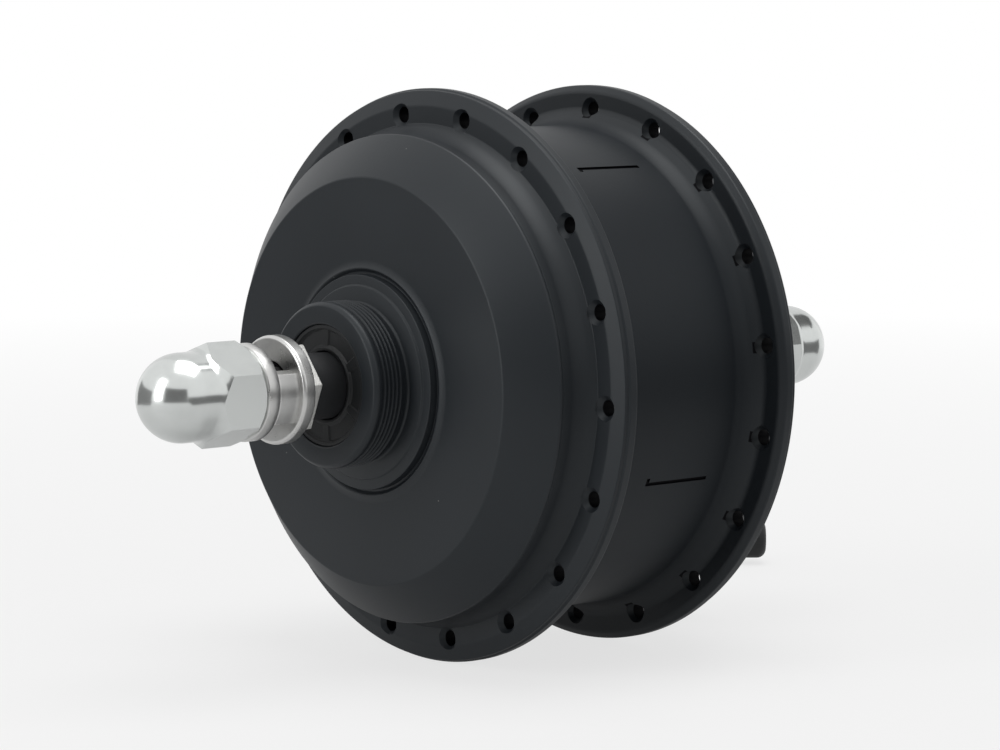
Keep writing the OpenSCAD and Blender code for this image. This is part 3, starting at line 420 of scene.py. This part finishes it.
ground_steel = machined_metal("ground_steel", (0.52, 0.52, 0.53), (0.66, 0.66, 0.67), 0.16, 0.002, 0.002)
bush_bronze = machined_metal("bush_bronze", (0.42, 0.24, 0.09), (0.62, 0.38, 0.15), 0.34, 0.008)
dress(gear_nylon(), "planet_gear_1", "planet_gear_2", "planet_gear_3")
dress(bush_bronze, "planet_bush_1", "planet_bush_2", "planet_bush_3", "clutch_bushes")
dress(ground_steel, "planet_pins", "clutch_rollers")

# Ball bearings: ground races and polished balls in pressed brass cages, greased for life.
# Two carry the shell on the axle and two carry the rotor.
ball_steel = machined_metal("ball_steel", (0.72, 0.72, 0.73), (0.80, 0.80, 0.81), 0.06, 0.0004)
cage_brass = machined_metal("cage_brass", (0.58, 0.40, 0.15), (0.74, 0.55, 0.24), 0.26, 0.004)
for where in ("drive", "brake"):
    dress(ground_steel, f"{where}_bearing_inner", f"{where}_bearing_outer")
    dress(ball_steel, f"{where}_bearing_balls")
    dress(cage_brass, f"{where}_bearing_cage")
dress(ground_steel, "rotor_bearing_inners", "rotor_bearing_outers")
dress(ball_steel, "rotor_bearing_balls")
dress(cage_brass, "rotor_bearing_cages")


# Hub shell: one aluminium casting with the barrel, both spoke flanges and the brake end in one piece.
# It is turned and sprayed in satin black, and each spoke hole is drilled and countersunk from both sides.
def satin_paint(name, tone):
    """Satin black paint: fine orange peel, soft patches, a few specks of dust, less gloss on the barrel."""
    material, tree, shader, place = finish_material(name, Specular_Tint=(0.94, 0.98, 1, 1))
    peel = add_node(tree, "TexNoise", {"Vector": place, "Scale": 1500, "Detail": 2})
    patches = add_node(tree, "TexNoise", {"Vector": place, "Scale": 45, "Detail": 5})
    cells = add_node(tree, "TexVoronoi", {"Vector": place, "Scale": 300})
    tint = add_node(tree, "SeparateColor", {0: cells.outputs["Color"]})
    lone = add_node(tree, "Math", {0: tint.outputs[0], 1: 0.955}, operation="GREATER_THAN")
    speck = add_node(tree, "Math", {0: cells.outputs["Distance"], 1: 0.05}, operation="LESS_THAN")
    dust = add_node(tree, "Math", {0: lone.outputs[0], 1: speck.outputs[0]}, operation="MULTIPLY")
    paint = blended(tree, patches.outputs["Fac"], [0.85 * c for c in tone], [1.15 * c for c in tone])
    mix = add_node(tree, "Mix", {"Factor": dust.outputs[0]}, data_type="RGBA")
    tree.links.new(paint, mix.inputs[6])
    mix.inputs[7].default_value = (0.16, 0.16, 0.15, 1)
    tree.links.new(mix.outputs[2], shader.inputs["Base Color"])
    tree.links.new(between(tree, patches.outputs["Fac"], 0.40, 0.50), shader.inputs["Roughness"])
    along = add_node(tree, "SeparateXYZ", {"Vector": place}).outputs["Y"]
    from_middle = add_node(tree, "Math", {0: along}, operation="ABSOLUTE").outputs[0]
    barrel_gloss = 0.22
    flange_gloss = 0.37
    gloss = add_node(tree, "MapRange", {"Value": from_middle, "From Min": 17 * mm, "From Max": 20.5 * mm,
                                        "To Min": barrel_gloss, "To Max": flange_gloss})
    tree.links.new(gloss.outputs["Result"], shader.inputs["Specular IOR Level"])
    raised(tree, shader, peel.outputs["Fac"], 0.012 * mm)
    return material


shell_black = satin_paint("shell_black", (0.0105, 0.0130, 0.0160))
flange_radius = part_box("hub_shell")[1].x / mm
flange_middle = 23.2
flange_half = 2.5
rim_half = 1.45
barrel_radius = 52.5
wall_radius = 51.6
cove_radius = 55.8
bevel_radius = 57.6
seat_place = -33.2
end_place = 41.9
face_radius = 43
rim_radius = flange_radius - 0.4
disc_place = 52.2
disc_radius = 27.5
spigot_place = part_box("hub_shell")[1].y / mm
spigot_radius = 17.45
seal_seat = 12.8
bearing_seat = 14.03
bearing_mouth = 49.5
bearing_floor = 41.9
inner_wall = 38.9
motor_bore = 46.6
ring_gear_bore = 47.5
clip_groove = 48.3
half_outline = [
    (barrel_radius, 17.4, 2.4), (cove_radius, flange_middle - flange_half, 0.8),
    (59.8, flange_middle - flange_half, 0.5), (flange_radius, flange_middle - rim_half, 0.3),
    (flange_radius, flange_middle + 0.35, 0.12), (rim_radius, flange_middle + 0.65, 0.1),
    (rim_radius, flange_middle + rim_half, 0.25), (bevel_radius, flange_middle + flange_half, 0.3),
    (53.8, flange_middle + flange_half, 0.15), (wall_radius, 28.6, 2.4),
]
shell_rows = [
    (48.5, seat_place, 0), (wall_radius, seat_place, 0.25),
    *[(radius, -place, rounding) for radius, place, rounding in reversed(half_outline)], *half_outline,
    (wall_radius, 33.7, 0.6), (face_radius, end_place, 0.35), (29.5, end_place, 0.4),
    (disc_radius, 43.9, 0.3), (disc_radius, disc_place, 0.4),
    (spigot_radius, disc_place, 0.1), (spigot_radius, spigot_place, 0.3),
    (seal_seat, spigot_place, 0.3), (seal_seat, bearing_mouth, 0), (bearing_seat, bearing_mouth, 0),
    (bearing_seat, bearing_floor, 0), (17, bearing_floor, 0.3), (20, inner_wall, 0.6), (41, inner_wall, 0.8),
    (motor_bore, 32.2, 0.8), (motor_bore, -4, 0), (ring_gear_bore, -4, 0), (ring_gear_bore, -19.6, 0),
    (clip_groove, -19.6, 0), (clip_groove, -20.8, 0), (ring_gear_bore, -20.8, 0), (ring_gear_bore, -24.6, 0),
    (48.5, -25.6, 0),
]
hub_barrel = as_piece("hub_barrel", turned(shell_rows, 288), shell_black)
spoke_count = 18
drive_spokes = -7.6
brake_spokes = 2.3
spoke_circle = 56
spoke_hole = 1.7
sink_radius = 2.75
sink_mouth = flange_half + 0.1
sink_start = sink_mouth - (sink_radius - spoke_hole)
sink_end = sink_mouth + sink_radius
drill_rows = [(0, -sink_end, 0), (sink_radius, -sink_mouth, 0), (spoke_hole, -sink_start, 0),
              (spoke_hole, sink_start, 0), (sink_radius, sink_mouth, 0), (0, sink_end, 0)]
for middle, first in ((-flange_middle, drive_spokes), (flange_middle, brake_spokes)):
    spoke_drill = turned(drill_rows, 40)
    bmesh.ops.translate(spoke_drill, verts=spoke_drill.verts, vec=(0, middle * mm, 0))
    combined(hub_barrel, ringed(spoke_drill, spoke_circle, spoke_count, first), "DIFFERENCE")
disc_bolt_radius = 2.5
disc_bolt_circle = 22
disc_bolt_drill = drill(disc_bolt_radius, 43.2, disc_place + 1, 32)
combined(hub_barrel, ringed(disc_bolt_drill, disc_bolt_circle, 6, 15), "DIFFERENCE")
# The bores of the spoke holes, and the engraved lines below, get a darker and duller finish than the painted
# faces: painted shade that darkens these recesses as a whole.
painted_shade_black = jacket_plastic("painted_shade_black", (0.004, 0.004, 0.005))
painted_shade_black.node_tree.nodes["Principled BSDF"].inputs["Specular IOR Level"].default_value = 0.04
hub_barrel.data.materials.append(painted_shade_black)
half_pitch = 180 / spoke_count
for flat in hub_barrel.data.polygons:
    first = drive_spokes if flat.center.y < 0 else brake_spokes
    turn = math.degrees(math.atan2(flat.center.x, flat.center.z)) - first
    turn_from_hole = (turn + half_pitch) % (2 * half_pitch) - half_pitch
    reach = math.hypot(flat.center.x, flat.center.z) / mm - spoke_circle
    if math.hypot(reach, spoke_circle * math.radians(turn_from_hole)) < spoke_hole + 0.02:
        flat.material_index = 1
# Two fine engraved corner lines frame a bare field on the barrel.
groove_floor = barrel_radius - 0.4
line_start = -7.0
line_end = 10.7
corner_end = -6.1
corner_width = 1.5
for angle, thick, corner_turn in ((31.9, 0.95, 0.35), (112.6, 0.8, -0.65)):
    for end, turn, width in ((line_end, angle, thick), (corner_end, angle + corner_turn, corner_width)):
        line_middle = (0, (line_start + end) / 2, groove_floor + 1)
        combined(hub_barrel, block((width, end - line_start, 2), line_middle, turn), "DIFFERENCE")
# Painted shade: the faces inside the engraved lines take the same dark finish, so that each whole groove
# shows dark.
for flat in hub_barrel.data.polygons:
    radius = math.hypot(flat.center.x, flat.center.z) / mm
    under_barrel = groove_floor - 0.1 < radius < barrel_radius - 0.1
    if under_barrel and line_start - 1 < flat.center.y / mm < line_end + 0.3:
        flat.material_index = 1
round_edges(hub_barrel, 0.14)
keep(hub_barrel, "hub", "black_paint", "hub_shell")


# Drive cover: an aluminium cap screwed into the barrel, with a cone, a flat face, a stepped shoulder
# and a boss whose helical thread takes a screw-on freewheel. It is painted with the shell.
def thread(core, crest, start, end, pitch):
    """A helical ridge on a core from start to end along the axle, faded into the core at both ends."""
    steps_in_turn = 96
    root = core - 0.15
    ridge = bmesh.new()
    outline = [(root, 0), (core, 0.04 * pitch), (crest, 0.38 * pitch), (crest, 0.58 * pitch),
               (core, 0.92 * pitch), (root, 0.96 * pitch)]
    corners = [ridge.verts.new((0, (start + along) * mm, radius * mm)) for radius, along in outline]
    for first, second in zip(corners, corners[1:] + corners[:1]):
        ridge.edges.new((first, second))
    turns = (end - start) / pitch - 1
    count = int(turns * steps_in_turn)
    bmesh.ops.spin(ridge, geom=ridge.verts[:] + ridge.edges[:], cent=(0, 0, 0), axis=(0, 1, 0),
                   angle=-math.tau * turns, steps=count, dvec=(0, turns * pitch * mm / count, 0))
    bmesh.ops.holes_fill(ridge, edges=[edge for edge in ridge.edges if edge.is_boundary], sides=0)
    for vertex in ridge.verts:
        radius = math.hypot(vertex.co.x, vertex.co.z) / mm
        inside = min(vertex.co.y / mm - start, end - vertex.co.y / mm)
        limit = root + max(0, inside) * 0.9
        if radius > limit:
            vertex.co.x *= limit / radius
            vertex.co.z *= limit / radius
    bmesh.ops.recalc_face_normals(ridge, faces=ridge.faces)
    return ridge


boss_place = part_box("drive_cover")[0].y / mm
thread_crest = 17.46
thread_core = 17.0
thread_pitch = 1.058
land_end = boss_place + 1.9
neck_start = boss_place + 8.4
shoulder_place = -43.5
seam_radius = 51.8
plug_radius = 48.45
neck_radius = 16.8
cover_rows = [
    (45.65, -26, 0), (47.95, -26, 0), (plug_radius, -26.5, 0), (plug_radius, seat_place, 0),
    (51.62, seat_place, 0.05), (seam_radius, -33.4, 0.1), (seam_radius, -34.05, 0.3),
    (face_radius, -end_place, 0.3), (24.9, -end_place, 0.9), (23.9, -0.5 - end_place, 0.25),
    (23.2, 0.2 - end_place, 0.1), (22.7, 0.2 - end_place, 0.1), (22.6, shoulder_place, 0.14),
    (20.6, shoulder_place - 0.1, 0.05), (20.3, shoulder_place - 0.5, 0.1),
    (neck_radius, shoulder_place - 0.9, 0.5), (neck_radius, neck_start, 0.1),
    (thread_core, neck_start - 0.1, 0.05), (thread_core, land_end, 0.05),
    (thread_crest, land_end - 0.2, 0.05), (thread_crest, boss_place + 0.75, 0.4), (16.7, boss_place, 0.25),
    (13.1, boss_place, 0.12), (seal_seat, boss_place + 0.3, 0.1), (seal_seat, -50.2, 0),
    (bearing_seat, -50.2, 0), (bearing_seat, -41.7, 0), (14.53, -41.2, 0), (16.53, -inner_wall, 0.4),
    (40, -inner_wall, 0.6), (45.65, -33.5, 0.4),
]
cover_piece = as_piece("drive_cap", turned(cover_rows, 288), shell_black)
keep(cover_piece, "hub", "black_paint", "drive_cover")
thread_start = land_end - 0.4
thread_end = thread_start + 6.5 * thread_pitch
thread_shape = thread(thread_core, thread_crest, thread_start, thread_end, thread_pitch)
keep(as_piece("freewheel_thread", thread_shape, shell_black, 50), "hub", "black_paint")
dress(jacket_plastic("ring_rubber", (0.010, 0.010, 0.010)), "cover_o_ring")

# Seals: moulded rubber rings pressed into both ends of the hub, with a lip on the axle.
# Six shallow pockets between radial ribs run round each face.
seal_rubber = jacket_plastic("seal_rubber", (0.0105, 0.0115, 0.0125))
seal_radius = 12.77
pocket_pitch = 60
rib_half = 4
for seal, node_name, lip, face, inner in (("drive_seal_ring", "drive_seal", 7.0, -53.3, -50.3),
                                          ("brake_seal_ring", "brake_seal", 7.57, 53.2, 50.2)):
    out = 1 if inner > face else -1
    pocket_place = face + 0.45 * out
    seal_rows = [
        (lip, inner, 0), (lip, face + 0.9 * out, 0.1), (lip + 0.25, face + 0.25 * out, 0.15),
        (lip + 0.95, face + 0.1 * out, 0.15), (lip + 1.2, pocket_place, 0.1),
        (11.7, pocket_place, 0.1), (11.95, face, 0.12), (seal_radius - 0.1, face, 0.15),
        (seal_radius, face + 0.3 * out, 0.05), (seal_radius, inner, 0),
    ]
    seal_shape = turned(seal_rows, 144)
    pockets = []
    for flat in seal_shape.faces:
        middle = flat.calc_center_median()
        radius = math.hypot(middle.x, middle.z) / mm
        turn = math.degrees(math.atan2(middle.x, middle.z)) % pocket_pitch
        on_face = lip + 1.3 < radius < 11.65 and abs(middle.y / mm - pocket_place) < 0.05
        if on_face and rib_half < turn < pocket_pitch - rib_half:
            pockets.append(flat)
    bmesh.ops.inset_region(seal_shape, faces=pockets, thickness=0.3 * mm, depth=-0.28 * mm,
                           use_even_offset=True)
    keep(as_piece(seal, seal_shape, seal_rubber, 40), "hub", "black_rubber", node_name)


# Lock nuts: thin sheared steel nuts in dull zinc that clamp the bearings, with rough and bright cut sides.
# The brake side one is thicker, and the tab washer bears on the drive side one.
def hexagon(across_flats, start, end, first):
    """A six-sided prism on the axle, in mm, with a corner at an angle from +Z towards +X."""
    shape = bmesh.new()
    corner_radius = across_flats / 2 / math.cos(math.pi / 6)
    bmesh.ops.create_circle(shape, cap_ends=True, segments=6, radius=corner_radius * mm)
    swing(shape, 90, "X")
    swing(shape, first)
    bmesh.ops.translate(shape, verts=shape.verts, vec=(0, start * mm, 0))
    pulled = bmesh.ops.extrude_face_region(shape, geom=shape.faces[:])["geom"]
    far_corners = [part for part in pulled if isinstance(part, bmesh.types.BMVert)]
    bmesh.ops.translate(shape, verts=far_corners, vec=(0, (end - start) * mm, 0))
    bmesh.ops.recalc_face_normals(shape, faces=shape.faces)
    return shape


def plated_zinc(name, dark, light, rough, grain, pits):
    """Zinc plating: cloudy patches, a fine crystalline grain and small dark pits."""
    material, tree, shader, place = finish_material(name, Metallic=1.0)
    clouds = add_node(tree, "TexNoise", {"Vector": place, "Scale": 220, "Detail": 6, "Roughness": 0.65})
    fine = add_node(tree, "TexNoise", {"Vector": place, "Scale": 4200, "Detail": 4})
    cells = add_node(tree, "TexVoronoi", {"Vector": place, "Scale": 900})
    pit = add_node(tree, "MapRange", {"Value": cells.outputs["Distance"], "From Min": 0.03, "From Max": 0.12,
                                      "To Min": 1 - pits, "To Max": 1})
    tone = blended(tree, clouds.outputs["Fac"], dark, light)
    pitted = add_node(tree, "Mix", {"Factor": pit.outputs["Result"]}, data_type="RGBA")
    pitted.inputs[6].default_value = (0.12, 0.12, 0.12, 1)
    tree.links.new(tone, pitted.inputs[7])
    tree.links.new(pitted.outputs[2], shader.inputs["Base Color"])
    roughness = between(tree, clouds.outputs["Fac"], 0.7 * rough, 1.3 * rough)
    tree.links.new(roughness, shader.inputs["Roughness"])
    raised(tree, shader, fine.outputs["Fac"], grain * mm)
    return material


sheared_zinc = plated_zinc("sheared_zinc", (0.50, 0.50, 0.48), (0.86, 0.86, 0.84), 0.6, 0.12, 0.5)
axle_bore = 5.95
lock_across = 17.4
drive_nut_face = -64.5
brake_dropout = 67.5
for nut, node_name, start, end, first in (("drive_lock_nut", "lock_nut_drive", drive_nut_face, -61.6, 22),
                                          ("brake_lock_nut", "lock_nut_brake", 61.5, brake_dropout, 10)):
    lock_piece = as_piece(nut, hexagon(lock_across, start, end, first), sheared_zinc)
    combined(lock_piece, drill(axle_bore, start - 1, end + 1, 64), "DIFFERENCE")
    round_edges(lock_piece, 0.22, 35, 3)
    keep(lock_piece, "axle", "dull_zinc", node_name)

# Tab washer: a thick pressed washer whose tab is bent outwards, so that it keys into the frame's dropout.
# It is zinc plated, with rounded press edges.
pressed_zinc = plated_zinc("pressed_zinc", (0.50, 0.50, 0.49), (0.68, 0.68, 0.67), 0.30, 0.012, 0.25)
drive_dropout = -67.5
washer_bore = axle_bore + 0.1
washer_radius = 11.3
tab_rows = [(washer_bore, drive_dropout, 0.3), (washer_radius, drive_dropout, 0.8),
            (washer_radius, drive_nut_face, 0.4), (washer_bore, drive_nut_face, 0.2)]
tab_piece = as_piece("tabbed_washer", turned(tab_rows, 128), pressed_zinc)
tab_inner = 6.9
tab_outer = 9.9
tab_width = 10.4
tab_angle = 97
tab_root = drive_dropout + 1
tab_end = drive_dropout - 5.25
bent_rows = [(tab_inner, tab_end, 0.3), (tab_outer, tab_end, 0.45), (tab_outer, tab_root, 0),
             (tab_inner, tab_root, 0)]
bent_tab = as_piece("bent_tab", turned(bent_rows, 256))
tab_slab = block((tab_width, 8, 6), (0, drive_dropout - 2, 8), tab_angle)
combined(bent_tab, tab_slab, "INTERSECT")
tab_shape = bmesh.new()
tab_shape.from_mesh(bent_tab.data)
bpy.data.objects.remove(bent_tab)
combined(tab_piece, tab_shape, "UNION")
round_edges(tab_piece, 0.4, 50, 3)
keep(tab_piece, "axle", "dull_zinc", "tab_washer")

# Flat washers: one under each domed nut, blanked from sheet, with a rolled front edge.
# They bear on the outside of the frame.
flat_bore = axle_bore + 0.15
flat_radius = 10.1
flat_thick = 2.8
drive_frame_face = -72.8
for washer, start, out in (("drive_flat_washer", drive_frame_face, -1),
                           ("brake_flat_washer", brake_dropout, 1)):
    washer_rows = [(flat_bore, start, 0.2), (flat_radius, start, 0.15),
                   (flat_radius, start + flat_thick * out, 0.45), (flat_bore, start + flat_thick * out, 0.2)]
    keep(as_piece(washer, turned(washer_rows, 128), pressed_zinc), "axle", "dull_zinc", "flat_washers")

# Domed nuts: polished and bright zinc plated cap nuts that close both ends of the axle.
# Their corners are chamfered, and the dome rises from the hexagon by a small fillet.
bright_zinc = plated_zinc("bright_zinc", (0.58, 0.60, 0.59), (0.70, 0.72, 0.71), 0.17, 0.0008, 0.12)
nut_across = 19
nut_height = 24
seat_radius = 9.4
past_corners = 11.5
dome_radius = 9.2
for nut, base, out, first in (("drive_domed_nut", drive_frame_face - flat_thick, -1, 5),
                              ("brake_domed_nut", brake_dropout + flat_thick, 1, 23)):
    tip = base + nut_height * out
    nut_piece = as_piece(nut, hexagon(nut_across, base - out, tip + out, first), bright_zinc)
    envelope_rows = [(0, base, 0), (seat_radius, base, 0), (past_corners, base + 2.3 * out, 0),
                     (past_corners, base + 8.4 * out, 0), (dome_radius, base + 10.5 * out, 1.6),
                     (dome_radius, tip, dome_radius - 0.01), (0, tip, 0)]
    combined(nut_piece, turned(envelope_rows, 160), "INTERSECT")
    combined(nut_piece, drill(axle_bore, base - out, base + 14.5 * out, 64), "DIFFERENCE")
    round_edges(nut_piece, 0.3, 25, 3)
    keep(nut_piece, "axle", "bright_zinc", "domed_nuts")

# Ground and backdrop: the hub stands on its flanges on a pale floor that fades into white.
ground_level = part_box("hub_shell")[0].z - 0.05 * mm
floor_shape = bmesh.new()
bmesh.ops.create_circle(floor_shape, cap_ends=True, segments=96, radius=4)
bmesh.ops.translate(floor_shape, verts=floor_shape.verts, vec=(0, 0, ground_level))
floor = as_piece("pale_floor", floor_shape)
floor_finish, tree, shader, place = finish_material("pale_floor", Roughness=0.8)
shader.inputs["Base Color"].default_value = (0.66, 0.66, 0.66, 1)
glow = add_node(tree, "Emission", {"Strength": 1.0})
distance = add_node(tree, "VectorMath", {0: place}, operation="LENGTH").outputs["Value"]
rays = add_node(tree, "LightPath")
whiteness = []
for ray, near, far, near_share in (("Is Camera Ray", 0.15, 0.9, 0.72), ("Is Glossy Ray", 0.1, 0.7, 0.3)):
    fade = add_node(tree, "MapRange", {"Value": distance, "From Min": near, "From Max": far,
                                       "To Min": near_share, "To Max": 1})
    whiteness.append(add_node(tree, "Math", {0: rays.outputs[ray], 1: fade.outputs["Result"]},
                              operation="MULTIPLY").outputs[0])
share = add_node(tree, "Math", {0: whiteness[0], 1: whiteness[1]}, operation="MAXIMUM")
surface = add_node(tree, "MixShader", {0: share.outputs[0], 1: shader.outputs[0], 2: glow.outputs[0]})
tree.links.new(surface.outputs[0], tree.nodes["Material Output"].inputs["Surface"])
floor.data.materials.append(floor_finish)

# Light: a wide soft lamp overhead, a tall narrower one in front and a dim even surround.
# Grey cards and a bright strip stand round the hub, seen only in reflections, and draw the nuts' bands.
world = bpy.data.worlds.new("surround")
world.use_nodes = True
bpy.context.scene.world = world
tree = world.node_tree
background = tree.nodes["Background"]
background.inputs["Color"].default_value = (1, 1, 1, 1)
rays = add_node(tree, "LightPath")
shown = add_node(tree, "Math", {0: rays.outputs["Is Camera Ray"], 1: rays.outputs["Is Glossy Ray"]},
                 operation="MAXIMUM")
shown = add_node(tree, "Math", {0: shown.outputs[0], 1: rays.outputs["Is Transmission Ray"]},
                 operation="MAXIMUM")
surround_strength = 0.35
level = add_node(tree, "MapRange", {"Value": shown.outputs[0], "To Min": surround_strength, "To Max": 1.0})
tree.links.new(level.outputs["Result"], background.inputs["Strength"])


def soft_lamp(name, place, width, height, power):
    """An area lamp that points at the middle of the hub."""
    lamp_data = bpy.data.lights.new(name, "AREA")
    lamp_data.shape = "RECTANGLE"
    lamp_data.size = width
    lamp_data.size_y = height
    lamp_data.energy = power
    lamp = bpy.data.objects.new(name, lamp_data)
    lamp.location = place
    lamp.rotation_euler = (-Vector(place)).to_track_quat("-Z", "Y").to_euler()
    bpy.context.scene.collection.objects.link(lamp)


soft_lamp("overhead_lamp", (0.1, 0.1, 0.9), 0.7, 0.7, 5)
soft_lamp("front_lamp", (-0.09, -0.85, 0.33), 0.32, 0.72, 2.4)


def bent_card(name, rows, turn_start, turn_end, strength):
    """A card bent round the hub that shows only in reflections; a row is a radius and a height in metres."""
    shape = bmesh.new()
    corners = [shape.verts.new((radius, 0, height)) for radius, height in rows]
    for first, second in zip(corners, corners[1:]):
        shape.edges.new((first, second))
    swing(shape, turn_start, "Z")
    bmesh.ops.spin(shape, geom=shape.verts[:] + shape.edges[:], cent=(0, 0, 0), axis=(0, 0, 1),
                   angle=math.radians(turn_end - turn_start), steps=24)
    material, tree, shader, place = finish_material(name)
    glow = add_node(tree, "Emission", {"Strength": strength})
    tree.links.new(glow.outputs[0], tree.nodes["Material Output"].inputs["Surface"])
    card = as_piece(name, shape, material)
    card.visible_camera = False
    card.visible_diffuse = False
    card.visible_shadow = False
    card.visible_transmission = False


low_card_height = ground_level + 1 * mm
bent_card("right_card", [(0.3, low_card_height), (0.8, low_card_height), (0.8, 0.088)], -25, 75, 0.2)
bent_card("upper_card", [(0.8, 0.4), (0.8, 0.8), (0.5, 1.1)], 66, 101, 0.15)
bent_card("back_card", [(0.8, 0.02), (0.8, 0.8), (0.4, 1.1)], 101, 170, 0.85)
bent_card("viewer_card", [(0.6, low_card_height), (1.0, low_card_height), (1.0, 0.5)], -82, -25, 0.2)
bent_card("front_card", [(0.35, low_card_height), (0.6, low_card_height), (0.6, 0.14)], 192, 248, 0.27)
bent_card("strip_card", [(0.9, -0.05), (0.9, 0.25)], 256, 268, 3)
bpy.context.scene.view_settings.view_transform = "Standard"
